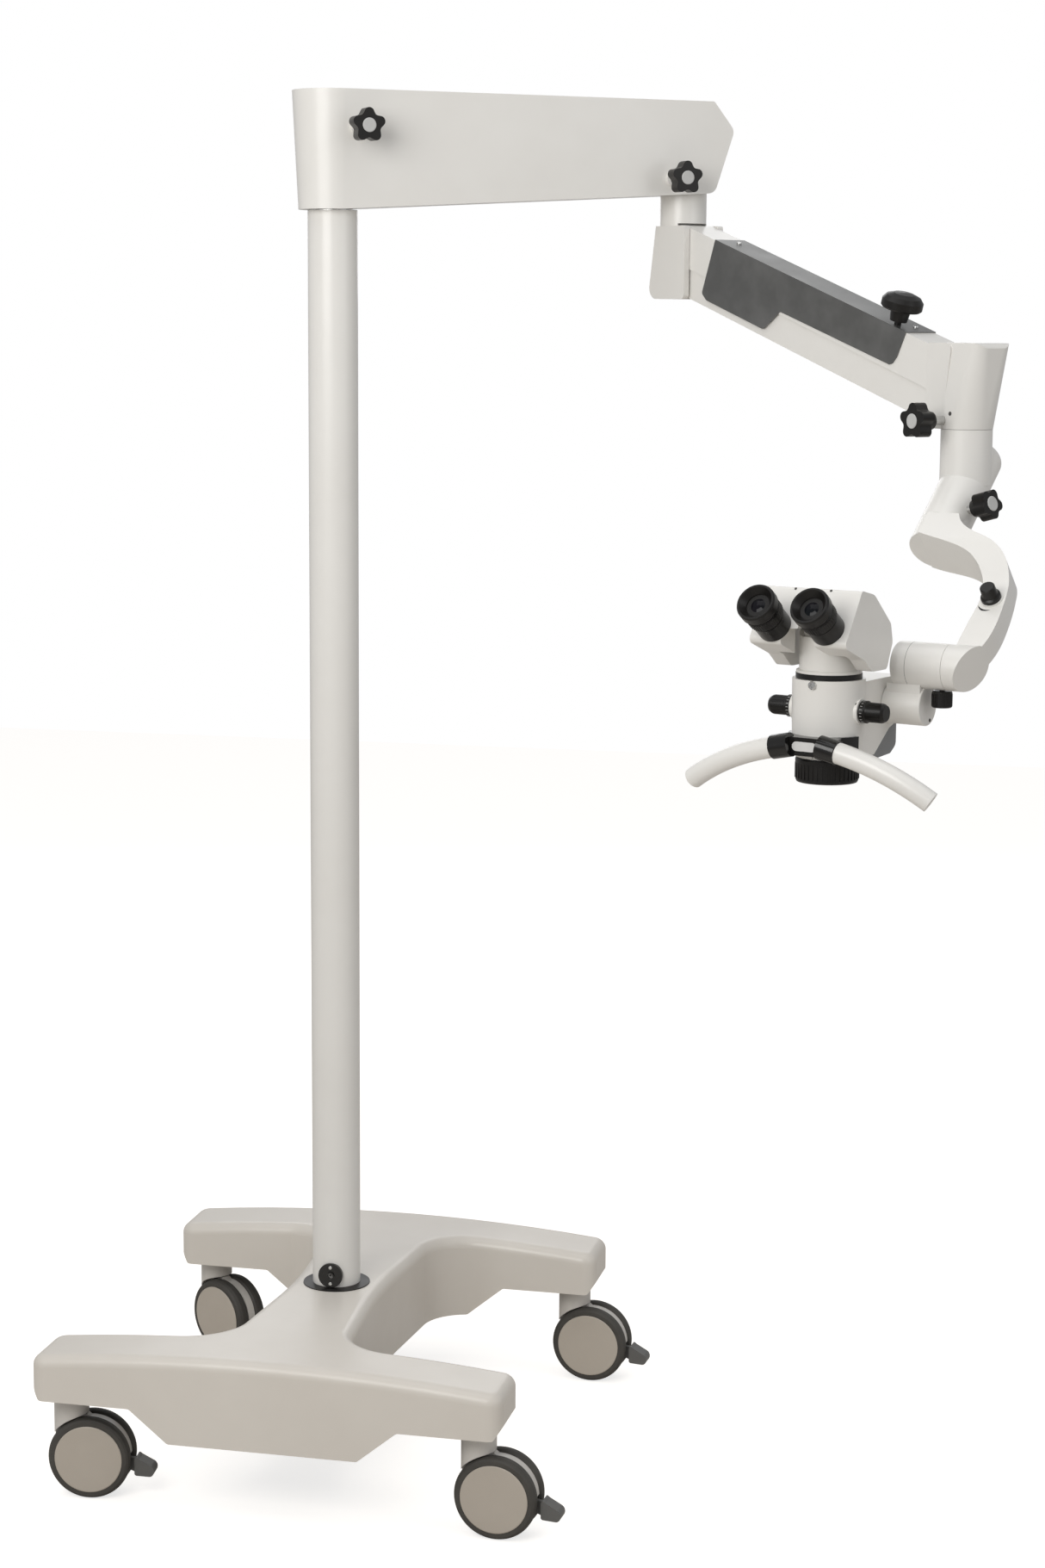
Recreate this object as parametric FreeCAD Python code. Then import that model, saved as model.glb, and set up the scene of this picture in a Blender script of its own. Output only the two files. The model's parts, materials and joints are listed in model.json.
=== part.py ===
"""Surgical microscope on a rolling floor stand, as an assembly of separate pieces.

World frame in millimetres: the column's axis is +Z, the floor is z = 0, the base bars run along X.
"""
import math
import os

import FreeCAD
import Part

V = FreeCAD.Vector
X, Y, Z = V(1, 0, 0), V(0, 1, 0), V(0, 0, 1)

# Base: two long bars joined by a waist, an H from above
BASE_HALF_LENGTH = 288.0
BAR_INNER, BAR_OUTER = 222.0, 314.0
WAIST_HALF, WAIST_ROOT = 57.0, 75.0
BASE_TOP, BASE_END_TOP = 196.0, 179.0
BASE_END_UNDERSIDE, BASE_SKIRT = 127.0, 88.0
SKIRT_HALF, SKIRT_SLOPE = 116.0, 48.0

# Casters: place and heading in degrees
CASTER_X, CASTER_Y = BASE_HALF_LENGTH - 36.0, 270.0
CASTERS = {"fl": (-1, -1, 6.7), "fr": (1, -1, -3.6), "br": (1, 1, -3.8), "bl": (-1, 1, -30.0)}
WHEEL_RADIUS = 50.0

# Column and beam
COLUMN_RADIUS = 30.0
COLUMN_TOP = 1528.0
BEAM_HEIGHT = 139.0
BEAM_REACH = 463.0
BEAM_NOSE = 47.0
BEAM_HEADING = 35.0

# Spring arm, a parallelogram of two links
ARM_LINK = 499.0
LINK_SPACING = 46.0
ARM_HEADING = -43.0
ARM_DIP = 17.1

# Front head, neck, hub and curved arm
NECK_AHEAD = 27.0
HEAD_HEADING = -21.0
HUB_DROP = 62.3
HUB_DIP = 42.0
HUB_RADIUS = 28.0
TILT_D = 272.0

# Microscope
PITCH_DROP = 43.3
SCOPE_X, SCOPE_Y = -21.0, -275.0
BODY_RADIUS = 39.0
BODY_HEIGHT = 84.0
EYE_HALF = 31.5
EYE_RISE = 34.0

# Fits
RUNNING = 0.05
SLIDE_GAP = 0.4
WALL = 3.0
PIN = 5.0

os.makedirs("parts", exist_ok=True)


def save(name, *solids):
    """Write one node; several loose solids of the same piece go in as one compound."""
    shape = solids[0] if len(solids) == 1 else Part.makeCompound(list(solids))
    shape.exportStep("parts/" + name + ".step")


def union(*solids):
    return solids[0].multiFuse(list(solids[1:])).removeSplitter()


def minus(solid, *tools):
    return solid.cut(list(tools)).removeSplitter()


def box(x0, x1, y0, y1, z0, z1):
    return Part.makeBox(x1 - x0, y1 - y0, z1 - z0, V(x0, y0, z0))


def cylinder(radius, base, axis, length):
    return Part.makeCylinder(radius, length, base, axis)


def tube(outer, inner, base, axis, length):
    return cylinder(outer, base, axis, length).cut(cylinder(inner, base, axis, length))


def turned(profile, base=V(), axis=Z):
    """Solid of revolution of an (r, z) polygon about an axis through base."""
    points = [V(r, 0, z) for r, z in profile]
    face = Part.Face(Part.makePolygon(points + points[:1]))
    solid = face.revolve(V(), Z, 360)
    solid.Placement = FreeCAD.Placement(base, FreeCAD.Rotation(Z, axis))
    return solid


def arc_corner(before, corner, after, radius):
    """Start, middle and end of the arc that rounds one corner."""
    to_before = (before - corner).normalize()
    to_after = (after - corner).normalize()
    half = to_before.getAngle(to_after) / 2
    start = corner + to_before * (radius / math.tan(half))
    end = corner + to_after * (radius / math.tan(half))
    bisector = (to_before + to_after).normalize()
    middle = corner + bisector * (radius / math.sin(half) - radius)
    return start, middle, end


def outline(points):
    """Flat face in the XY plane from (x, y, corner radius) points."""
    corners = [V(x, y, 0) for x, y, _ in points]
    edges = []
    first = last = None
    for i, (x, y, radius) in enumerate(points):
        start = end = corners[i]
        piece = None
        if radius > 0:
            after = corners[(i + 1) % len(corners)]
            start, middle, end = arc_corner(corners[i - 1], corners[i], after, radius)
            piece = Part.Arc(start, middle, end).toShape()
        if last is None:
            first = start
        elif (start - last).Length > 1e-6:
            edges.append(Part.makeLine(last, start))
        if piece:
            edges.append(piece)
        last = end
    if (first - last).Length > 1e-6:
        edges.append(Part.makeLine(last, first))
    return Part.Face(Part.Wire(edges))


def upright(points, y0, y1):
    """Prism along Y from an (x, z, corner radius) outline."""
    face = outline(points)
    face.rotate(V(), X, 90)
    face.translate(V(0, y0, 0))
    return face.extrude(V(0, y1 - y0, 0))


def side_prism(points, x0, x1):
    """Prism along X from a (y, z, corner radius) outline."""
    solid = upright(points, -x1, -x0)
    solid.rotate(V(), Z, 90)
    return solid


def flat(points, z0, z1):
    """Prism along Z from an (x, y, corner radius) outline."""
    face = outline(points)
    face.translate(V(0, 0, z0))
    return face.extrude(V(0, 0, z1 - z0))


def raised(points, z):
    """The same outline with its second coordinate counted from z."""
    return [(x, z + rise, radius) for x, rise, radius in points]


def frame(origin, heading):
    """Placement with its X turned by a heading about +Z."""
    return FreeCAD.Placement(origin, FreeCAD.Rotation(Z, heading))


def shifted(x, y, z):
    return FreeCAD.Placement(V(x, y, z), FreeCAD.Rotation())


def toward_camera(x, z):
    """Frame at (x, 0, z) whose +Z is the arm's or beam's near side, its local -Y."""
    return FreeCAD.Placement(V(x, 0, z), FreeCAD.Rotation(X, 90))


def placed(placement, *solids):
    """The solids moved from a local frame to the world."""
    moved = []
    for solid in solids:
        copy = solid.copy()
        copy.Placement = placement.multiply(copy.Placement)
        moved.append(copy)
    return moved if len(moved) > 1 else moved[0]


# Heights along the column and the post
SHOULDER = COLUMN_TOP + 0.6
BEAM_LOW = SHOULDER + SLIDE_GAP
BEAM_TOP = BEAM_LOW + BEAM_HEIGHT
COLUMN_BUSH_TOP = BEAM_TOP - 12
POST_SHOULDER = BEAM_LOW + 28.6
POST_BUSH_TOP = BEAM_TOP - 28
REAR_PIVOT_X = 28.0
REAR_PIVOT_Z = BEAM_LOW - 32
FRONT_X = REAR_PIVOT_X + ARM_LINK * math.cos(math.radians(ARM_DIP))
FRONT_Z = REAR_PIVOT_Z - ARM_LINK * math.sin(math.radians(ARM_DIP))
NECK_OFFSET = FRONT_X + NECK_AHEAD
HEAD_LOW = FRONT_Z - 67.7
HUB_Z = HEAD_LOW - HUB_DROP

# Local frames, each one hung on the one before
beam_frame = frame(V(), BEAM_HEADING)
arm_frame = frame(beam_frame.multVec(V(BEAM_REACH, 0, 0)), ARM_HEADING)
rear_pivot = FreeCAD.Placement(V(REAR_PIVOT_X, 0, REAR_PIVOT_Z), FreeCAD.Rotation(Y, ARM_DIP))
link_frame = arm_frame.multiply(rear_pivot)
head_frame = frame(arm_frame.multVec(V(NECK_OFFSET, 0, 0)), HEAD_HEADING)
hub_frame = head_frame.multiply(FreeCAD.Placement(V(0, 0, HUB_Z), FreeCAD.Rotation(X, 90 + HUB_DIP)))
tilt_centre = head_frame.inverse().multVec(hub_frame.multVec(V(0, 0, TILT_D)))
TILT_Y, TILT_Z = tilt_centre.y, tilt_centre.z
PITCH_Z = TILT_Z - PITCH_DROP
PITCH_RISE = 52.0
scope_frame = head_frame.multiply(shifted(SCOPE_X, SCOPE_Y, PITCH_Z - PITCH_RISE))


# Base cover: a moulded shell, open below, with a deeper skirt in the middle of each bar
def base_form(inset):
    """The H-shaped outside of the cover, moved inwards by inset."""
    length = BASE_HALF_LENGTH - inset
    inner, outer = BAR_INNER + inset, BAR_OUTER - inset
    root, waist = WAIST_ROOT - inset, WAIST_HALF - inset
    corner = 18 - inset
    right = [(length, -outer, corner), (length, -inner, corner), (root, -inner, 60), (waist, 0, 800),
             (root, inner, 60), (length, inner, corner), (length, outer, corner)]
    left = [(-x, -y, radius) for x, y, radius in right]
    plan = flat(right + left, 60, 230)
    span = BASE_HALF_LENGTH + 12
    ends = [V(-span, 0, BASE_END_TOP - inset), V(span, 0, BASE_END_TOP - inset)]
    crown = Part.Arc(ends[0], V(0, 0, BASE_TOP - inset), ends[1]).toShape()
    sides = Part.makePolygon([ends[1], V(span, 0, 50), V(-span, 0, 50), ends[0]])
    side = Part.Face(Part.Wire([crown] + sides.Edges))
    side.translate(V(0, -400, 0))
    form = plan.common(side.extrude(V(0, 800, 0)))
    rim = [edge for edge in form.Edges if edge.BoundBox.ZMin > BASE_END_TOP - inset - 1]
    return form.makeFillet(14 - inset, rim)


slope_end = SKIRT_HALF + SKIRT_SLOPE
notch = BASE_HALF_LENGTH - 10
below = [(400, 0, 0), (400, BASE_END_UNDERSIDE + 15, 0), (BASE_HALF_LENGTH, BASE_END_UNDERSIDE + 15, 0),
         (notch, BASE_END_UNDERSIDE, 4), (slope_end, BASE_END_UNDERSIDE, 6), (SKIRT_HALF, BASE_SKIRT, 6)]
below += [(-x, z, radius) for x, z, radius in reversed(below)]
column_hole = cylinder(COLUMN_RADIUS + SLIDE_GAP, V(0, 0, 150), Z, 80)
save("base_cover", minus(base_form(0).cut(base_form(WALL)), upright(below, -400, 400), column_hole))

# Welded frame: two cross bars and a spine of box section with a socket for the column
FRAME_LOW, FRAME_HIGH = BASE_END_UNDERSIDE + 3, BASE_END_UNDERSIDE + 38
FRAME_WALL = 4.0
BAR_HALF, SPINE_HALF = 22.0, 25.0
BAR_REACH = BASE_HALF_LENGTH - 13.0
COLUMN_FOOT = FRAME_LOW - 24
STEM_RADIUS = 6.0

parts = []
for side in (-1, 1):
    y = side * CASTER_Y
    bar = box(-BAR_REACH, BAR_REACH, y - BAR_HALF, y + BAR_HALF, FRAME_LOW, FRAME_HIGH)
    inside = BAR_HALF - FRAME_WALL
    hollow = box(-BAR_REACH, BAR_REACH, y - inside, y + inside,
                 FRAME_LOW + FRAME_WALL, FRAME_HIGH - FRAME_WALL)
    parts.append(bar.cut(hollow))
spine_end = CASTER_Y - BAR_HALF
inside = SPINE_HALF - FRAME_WALL
spine = box(-SPINE_HALF, SPINE_HALF, -spine_end, spine_end, FRAME_LOW, FRAME_HIGH)
spine = spine.cut(box(-inside, inside, -spine_end, spine_end,
                      FRAME_LOW + FRAME_WALL, FRAME_HIGH - FRAME_WALL))
socket = cylinder(COLUMN_RADIUS + 10, V(0, 0, COLUMN_FOOT - 6), Z, 75)
steel_h = union(*parts, spine, socket).cut(cylinder(COLUMN_RADIUS, V(0, 0, COLUMN_FOOT), Z, 80))
for sx, sy, _ in CASTERS.values():
    stem_base = V(sx * CASTER_X, sy * CASTER_Y, FRAME_LOW)
    steel_h = steel_h.fuse(cylinder(2 * STEM_RADIUS, stem_base, Z, FRAME_HIGH - FRAME_LOW))
    steel_h = steel_h.cut(cylinder(STEM_RADIUS, stem_base - Z * 30, Z, 100))
save("base_frame", steel_h.removeSplitter())

# Ballast under the bars, beside the socket and on top of the bars
blocks = []
low = BASE_SKIRT + 4
for side in (-1, 1):
    y = side * CASTER_Y
    blocks.append(box(8 - SKIRT_HALF, SKIRT_HALF - 8, y - 40, y + 40, low, FRAME_LOW))
    middle = sorted((side * 60, side * 205))
    blocks.append(box(9 - WAIST_HALF, WAIST_HALF - 9, *middle, low, FRAME_LOW))
    blocks.append(box(-200, 200, y - 36, y + 36, FRAME_HIGH, BASE_END_TOP))
save("ballast_blocks", *blocks)

# Casters: two wheels on one axle, either side of a web that carries the brake pedal
AXLE = 5.0
TRAIL = 25.0
WEB = 5.5
FORK_TOP = BASE_END_UNDERSIDE - 0.6
FLANGE_LOW = FORK_TOP - 31.1
axle_at = V(TRAIL, 0, WHEEL_RADIUS)
pedal_pin_at = V(TRAIL + 35, 0, WHEEL_RADIUS - 8)
HINGE_PIN = 2.0
TONGUE_HALF = 2.6
stem_line = [(0, FLANGE_LOW), (9, FLANGE_LOW), (9, FLANGE_LOW + 3.3), (STEM_RADIUS, FLANGE_LOW + 3.3),
             (STEM_RADIUS, FRAME_HIGH - 3), (0, FRAME_HIGH - 3)]
spoke_line = [(-19, 50, 0), (-19, 8, 4), (-4, -10, 10), (25, -17, 12), (52, -17, 6), (68, -16, 6),
              (68, 10, 0), (20, 50, 0)]
arm_line = [(60, -1, 0), (60, -14, 0), (80, -22, 0), (80, -4, 0)]
blade_line = [(78, -3, 2), (80, 0.5, 1.5), (84, -2.5, 1.5), (104, -13, 8), (100, -24, 6), (78, -23, 3)]
tyre_line = [(-9, 6), (-4, 6), (-1, 9), (0, 12.5), (0, 17.5), (-1.5, 21), (-4, 23), (-9, 23)]


def caster_fork():
    """Swivel housing, web, axle and the pedal's hinge pin."""
    housing = cylinder(21, V(0, 0, WHEEL_RADIUS + 6), Z, FORK_TOP - WHEEL_RADIUS - 6)
    housing = housing.cut(cylinder(WHEEL_RADIUS + 2, axle_at - Y * 30, Y, 60))
    disc = cylinder(WHEEL_RADIUS - 3, axle_at - Y * WEB, Y, 2 * WEB)
    fender = disc.common(box(TRAIL - 47, 80, -10, 10, WHEEL_RADIUS + 2, FORK_TOP))
    spoke = upright(raised(spoke_line, WHEEL_RADIUS), -WEB, WEB)
    fork = union(housing, fender, spoke)
    fork = fork.cut([
        cylinder(STEM_RADIUS + RUNNING, V(0, 0, FLANGE_LOW - 5), Z, 50),
        cylinder(9.4, V(0, 0, FLANGE_LOW - 0.3), Z, 4),
        cylinder(9, pedal_pin_at - Y * (TONGUE_HALF + SLIDE_GAP), Y, 2 * (TONGUE_HALF + SLIDE_GAP)),
        box(pedal_pin_at.x, 80, -TONGUE_HALF - SLIDE_GAP, TONGUE_HALF + SLIDE_GAP,
            WHEEL_RADIUS - 20, WHEEL_RADIUS + 2),
        cylinder(AXLE, axle_at - Y * 30, Y, 60),
        cylinder(HINGE_PIN, pedal_pin_at - Y * 8, Y, 16)])
    axle = cylinder(AXLE, axle_at - Y * 20, Y, 40)
    hinge_pin = cylinder(HINGE_PIN, pedal_pin_at - Y * WEB, Y, 2 * WEB)
    return [fork.removeSplitter(), axle, hinge_pin]


def caster_wheels():
    """Two tyres and their closed disc hubs."""
    rim = WHEEL_RADIUS - 9
    hub_line = [(AXLE + RUNNING, 6), (10, 6), (10, 9), (rim, 9), (rim, 23.4), (rim - 1, 24), (0, 24),
                (0, 21), (AXLE + RUNNING, 21)]
    wheels = []
    for side in (-1, 1):
        wheels.append(turned([(WHEEL_RADIUS + r, z) for r, z in tyre_line], axle_at, V(0, side, 0)))
        wheels.append(turned(hub_line, axle_at, V(0, side, 0)))
    return wheels


def caster_pedal():
    tongue = cylinder(7, pedal_pin_at - Y * TONGUE_HALF, Y, 2 * TONGUE_HALF)
    arm = upright(raised(arm_line, WHEEL_RADIUS), -TONGUE_HALF, TONGUE_HALF)
    blade = upright(raised(blade_line, WHEEL_RADIUS), -10, 10)
    hole = cylinder(HINGE_PIN + RUNNING, pedal_pin_at - Y * 8, Y, 16)
    return minus(union(tongue, arm, blade), hole)


stems = []
for name, (sx, sy, heading) in CASTERS.items():
    place = frame(V(sx * CASTER_X, sy * CASTER_Y, 0), heading)
    stems.append(placed(place, turned(stem_line)))
    save("caster_fork_" + name, *placed(place, *caster_fork()))
    save("caster_wheels_" + name, *placed(place, *caster_wheels()))
    save("caster_pedal_" + name, placed(place, caster_pedal()))
save("caster_stems", *stems)

# Column with its collar, the power inlet plate and the spindle that the beam turns on
JOURNAL = 20.0
INLET_Z = 214.0
INLET_TURN = math.radians(2.7)
BORE = COLUMN_RADIUS - WALL
save("column_tube", tube(COLUMN_RADIUS, BORE, V(0, 0, COLUMN_FOOT), Z, COLUMN_TOP - COLUMN_FOOT))
collar_line = [(COLUMN_RADIUS, BASE_TOP - 2.8), (COLUMN_RADIUS + 12.6, BASE_TOP - 2.8),
               (COLUMN_RADIUS + 11.8, BASE_TOP + 1), (COLUMN_RADIUS, BASE_TOP + 2)]
save("column_collar", turned(collar_line).cut(base_form(0)))
inlet_axis = V(math.sin(INLET_TURN), -math.cos(INLET_TURN), 0)
inlet_at = inlet_axis * (COLUMN_RADIUS - 1) + V(0, 0, INLET_Z)
plate = cylinder(15.5, inlet_at, inlet_axis, 4.5)
plate = plate.cut(cylinder(COLUMN_RADIUS, V(0, 0, INLET_Z - 40), Z, 80))
plate = plate.cut(cylinder(5, inlet_at, inlet_axis, 20))
jack = tube(5, 3.6, inlet_at + inlet_axis * 1.2, inlet_axis, 5.2)
contact = cylinder(1, inlet_at + inlet_axis * 1.2, inlet_axis, 4)
save("inlet_plate", plate, jack.fuse(contact))
spindle_base = V(0, 0, COLUMN_TOP - 108)
save("column_spindle", union(cylinder(BORE, spindle_base, Z, 108),
                             cylinder(COLUMN_RADIUS, V(0, 0, COLUMN_TOP), Z, SHOULDER - COLUMN_TOP),
                             cylinder(JOURNAL, V(0, 0, COLUMN_TOP), Z, COLUMN_BUSH_TOP - 2 - COLUMN_TOP)))

# Beam: a drafted casting with a rounded back, two bosses for the bushes and two lock knobs
BEAM_HALF_TOP, BEAM_HALF_LOW = 48.0, 41.0
BEAM_WALL = 5.0
LID = 3.0
BOSS = 30.0
BUSH_RADIUS = 24.0
POST_RADIUS = 29.0
LOCK_STUD = 5.0
KNOB_1 = (16.0, BEAM_LOW + 95)
KNOB_2 = (BEAM_REACH - 36, BEAM_LOW + 44)


def beam_plan(half, z):
    length = BEAM_REACH + BEAM_NOSE + 30
    back = Part.Arc(V(0, half, z), V(-half, 0, z), V(0, -half, z)).toShape()
    rest = Part.makePolygon([V(0, -half, z), V(length, -half, z), V(length, half, z), V(0, half, z)])
    return Part.Wire([back] + rest.Edges)


def beam_form(inset):
    """Drafted block, cut by the beam's side profile and moved inwards by inset."""
    plans = [beam_plan(BEAM_HALF_LOW - inset, BEAM_LOW), beam_plan(BEAM_HALF_TOP - inset, BEAM_TOP)]
    block = Part.makeLoft(plans, True, True)
    end = BEAM_REACH + BEAM_NOSE - inset
    low, top = BEAM_LOW + inset, BEAM_TOP + inset
    profile = [(-80, low, 0), (0, low, 0), (end - 24, low + 28, 12), (end, BEAM_TOP - 34.5, 12),
               (end - 29, top, 4), (-80, top, 0)]
    return block.common(upright(profile, -80, 80))


def beam_half(z):
    """Half width of the drafted casting at a height."""
    return BEAM_HALF_LOW + (BEAM_HALF_TOP - BEAM_HALF_LOW) * (z - BEAM_LOW) / BEAM_HEIGHT


def star_knob(stud_start, neck_start, star_start, top, radius=25.0):
    """Five-lobed head with its neck, a light cap and a stud, along local +Z."""
    lobes = []
    for i in range(10):
        reach = radius + 2.5 if i % 2 == 0 else radius * 0.56
        angle = math.radians(36 * i + 90)
        lobes.append((reach * math.cos(angle), reach * math.sin(angle), 6 if i % 2 == 0 else 5))
    rim = turned([(0, star_start), (radius - 4, star_start), (radius, star_start + 4), (radius, top - 5),
                  (radius - 4, top - 1), (0, top - 1)])
    star = flat(lobes, star_start, top - 1).common(rim)
    neck_piece = turned([(0, neck_start), (10, neck_start), (12, star_start + 1), (0, star_start + 1)])
    head = union(star, neck_piece)
    head = head.cut([cylinder(LOCK_STUD, V(0, 0, neck_start), Z, star_start - neck_start + 4),
                     cylinder(8.3, V(0, 0, top - 3), Z, 3)])
    cap = turned([(0, top - 3), (8.3, top - 3), (8.3, top - 0.6), (7.6, top), (0, top)])
    return [head, cap, cylinder(LOCK_STUD, V(0, 0, stud_start), Z, star_start + 4 - stud_start)]


lid_end = BEAM_REACH + BEAM_NOSE - 29
lid_top = flat([(-60, -60, 0), (lid_end, -60, 0), (lid_end, 60, 0), (-60, 60, 0)], BEAM_TOP - LID, BEAM_TOP)
lid_slope = upright([(lid_end - 0.5, BEAM_TOP, 0), (lid_end - 3, BEAM_TOP - LID, 0),
                     (lid_end + 24.5, BEAM_TOP - 36, 0), (lid_end + 27.2, BEAM_TOP - 34, 0)], -44, 44)
lid = union(lid_top.common(beam_form(1.5)), lid_slope.common(beam_form(0)))
post_base = V(BEAM_REACH, 0, BEAM_LOW)
cavity = beam_form(BEAM_WALL).cut([
    cylinder(BOSS, V(0, 0, BEAM_LOW), Z, COLUMN_BUSH_TOP + 2 - BEAM_LOW),
    cylinder(BOSS, post_base, Z, POST_BUSH_TOP - BEAM_LOW),
    box(KNOB_1[0] - 11, KNOB_1[0] + 11, -50, -20, KNOB_1[1] - 12, KNOB_1[1] + 12),
    box(KNOB_2[0] - 11, KNOB_2[0] + 11, -50, 0, KNOB_2[1] - 12, KNOB_2[1] + 12)])
post_bush_base = V(BEAM_REACH, 0, POST_SHOULDER + 2.4)
beam = beam_form(0).cut([
    cavity, lid,
    cylinder(BUSH_RADIUS, V(0, 0, BEAM_LOW - 9), Z, COLUMN_BUSH_TOP - BEAM_LOW + 9),
    cylinder(BUSH_RADIUS, post_base, Z, POST_BUSH_TOP + 10 - BEAM_LOW),
    cylinder(POST_RADIUS + 0.5, post_base, Z, POST_SHOULDER + SLIDE_GAP - BEAM_LOW)])
for name, (x, z) in (("column_lock_knob", KNOB_1), ("elbow_lock_knob", KNOB_2)):
    local = toward_camera(x, z)
    wall_at = beam_half(z)
    beam = beam.cut(placed(local, cylinder(LOCK_STUD + RUNNING, V(0, 0, 30), Z, 40)))
    pad = placed(local, tube(9, LOCK_STUD + RUNNING, V(0, 0, wall_at - 4), Z, 10))
    beam = beam.fuse(pad)
    save(name, *placed(beam_frame.multiply(local), *star_knob(31, 60, 72, 90)))
save("beam_housing", placed(beam_frame, beam.removeSplitter()))
save("beam_top_cover", placed(beam_frame, lid))
bushes = [tube(BUSH_RADIUS, JOURNAL + RUNNING, V(0, 0, BEAM_LOW + 1), Z, COLUMN_BUSH_TOP - BEAM_LOW - 1),
          tube(BUSH_RADIUS, JOURNAL + RUNNING, post_bush_base, Z, POST_BUSH_TOP - post_bush_base.z)]
save("beam_bushes", *placed(beam_frame, *bushes))

# Elbow yoke: a post that turns in the beam, with a flared fork below for the two links
SHELL_HALF, SHELL_WALL = 21.5, 1.6
CHEEK = 7.6
YOKE_HALF = SHELL_HALF + 2 * SLIDE_GAP + CHEEK
YOKE_REACH = REAR_PIVOT_X + 15
SLOT_START, SLOT_RISE = REAR_PIVOT_X - 21.5, 23.0
slot_half = YOKE_HALF - CHEEK
fork_line = [(-17, 20, 0), (-32, -70, 14), (YOKE_REACH, -70, 6), (YOKE_REACH, 20, 3)]
fork = upright(raised(fork_line, REAR_PIVOT_Z), -YOKE_HALF, YOKE_HALF)
stem_base = V(0, 0, REAR_PIVOT_Z - 60)
yoke = union(fork, cylinder(POST_RADIUS, stem_base, Z, POST_SHOULDER - stem_base.z))
journal_base = V(0, 0, POST_SHOULDER - 7.6)
yoke = yoke.fuse(cylinder(JOURNAL, journal_base, Z, POST_BUSH_TOP + SLIDE_GAP - journal_base.z))
yoke = yoke.cut(box(SLOT_START, 60, -slot_half, slot_half, REAR_PIVOT_Z - 97, REAR_PIVOT_Z + SLOT_RISE))
washer = cylinder(JOURNAL + 6, V(0, 0, POST_BUSH_TOP + SLIDE_GAP), Z, 5)
rear_pins = [cylinder(PIN, V(REAR_PIVOT_X, 4 - YOKE_HALF, REAR_PIVOT_Z - drop), Y, 2 * YOKE_HALF - 8)
             for drop in (0, LINK_SPACING)]
save("elbow_yoke", *placed(arm_frame, minus(yoke, *rear_pins), washer))
save("rear_link_pins", *placed(arm_frame, *rear_pins))

# Spring arm: the lower link is a channel that nests inside the upper one
UPPER_ROUND, LOWER_ROUND = 20.3, 18.7
UPPER_SEAM = -28.0
LOWER_TOP = -20.0
GAS_Z = 9.4
KNOB_3_X, KNOB_3_Y = ARM_LINK - 90.0, -13.0
TENSION_STUD = 4.0
ANCHORS = (60, ARM_LINK - 53)
GAS_BODY = 240.0


def link_room(reach, half, low, top, base):
    """Space inside a link: straight between its pivots and round at both ends."""
    return union(box(base.x, base.x + ARM_LINK, -half, half, base.z + low, base.z + top),
                 *[cylinder(reach, V(base.x + x, -half, base.z), Y, 2 * half) for x in (0, ARM_LINK)])


inside = SHELL_HALF - SHELL_WALL
upper_line = [(0, UPPER_ROUND, 0), (ARM_LINK, UPPER_ROUND, 0), (ARM_LINK, -UPPER_ROUND, 0),
              (ARM_LINK - 8, UPPER_SEAM, 0), (8, UPPER_SEAM, 0), (0, -UPPER_ROUND, 0)]
upper = union(upright(upper_line, -SHELL_HALF, SHELL_HALF),
              link_room(UPPER_ROUND, SHELL_HALF, 0, UPPER_ROUND, V()))
upper = upper.cut([link_room(UPPER_ROUND - SHELL_WALL, inside, -60, UPPER_ROUND - SHELL_WALL, V()),
                   box(-30, ARM_LINK + 30, -inside, inside, -60, -4)])
for x in (0, ARM_LINK):
    upper = upper.cut(cylinder(PIN + RUNNING, V(x, -60, 0), Y, 120))
    upper = upper.fuse(tube(PIN + 4, PIN + RUNNING, V(x, -SHELL_HALF, 0), Y, 2 * SHELL_HALF))
for x in ANCHORS:
    lug = box(x, x + 6, 1 - SHELL_HALF, SHELL_HALF - 1, 3, UPPER_ROUND - 1)
    upper = upper.fuse(lug).cut(cylinder(3, V(x - 5, 0, GAS_Z), X, 20))
tension_hole = cylinder(TENSION_STUD + RUNNING, V(KNOB_3_X, KNOB_3_Y, 8), Z, 20)
save("upper_link", placed(link_frame, minus(upper, tension_hole)))

dip = math.radians(ARM_DIP)
lower_pivot = V(LINK_SPACING * math.sin(dip), 0, -LINK_SPACING * math.cos(dip))
half = SHELL_HALF - SHELL_WALL - SLIDE_GAP
inside = half - SHELL_WALL
lower = link_room(LOWER_ROUND, half, -LOWER_ROUND, LOWER_TOP - lower_pivot.z, lower_pivot)
lower = lower.cut(link_room(LOWER_ROUND - SHELL_WALL, inside, SHELL_WALL - LOWER_ROUND, 60, lower_pivot))
for x in (0, ARM_LINK):
    base = lower_pivot + V(x, -half, 0)
    lower = lower.cut(cylinder(PIN + RUNNING, base - Y * 5, Y, 60))
    lower = lower.fuse(tube(PIN + 3, PIN + RUNNING, base, Y, 2 * half))
save("lower_link", placed(link_frame, lower.removeSplitter()))

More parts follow.
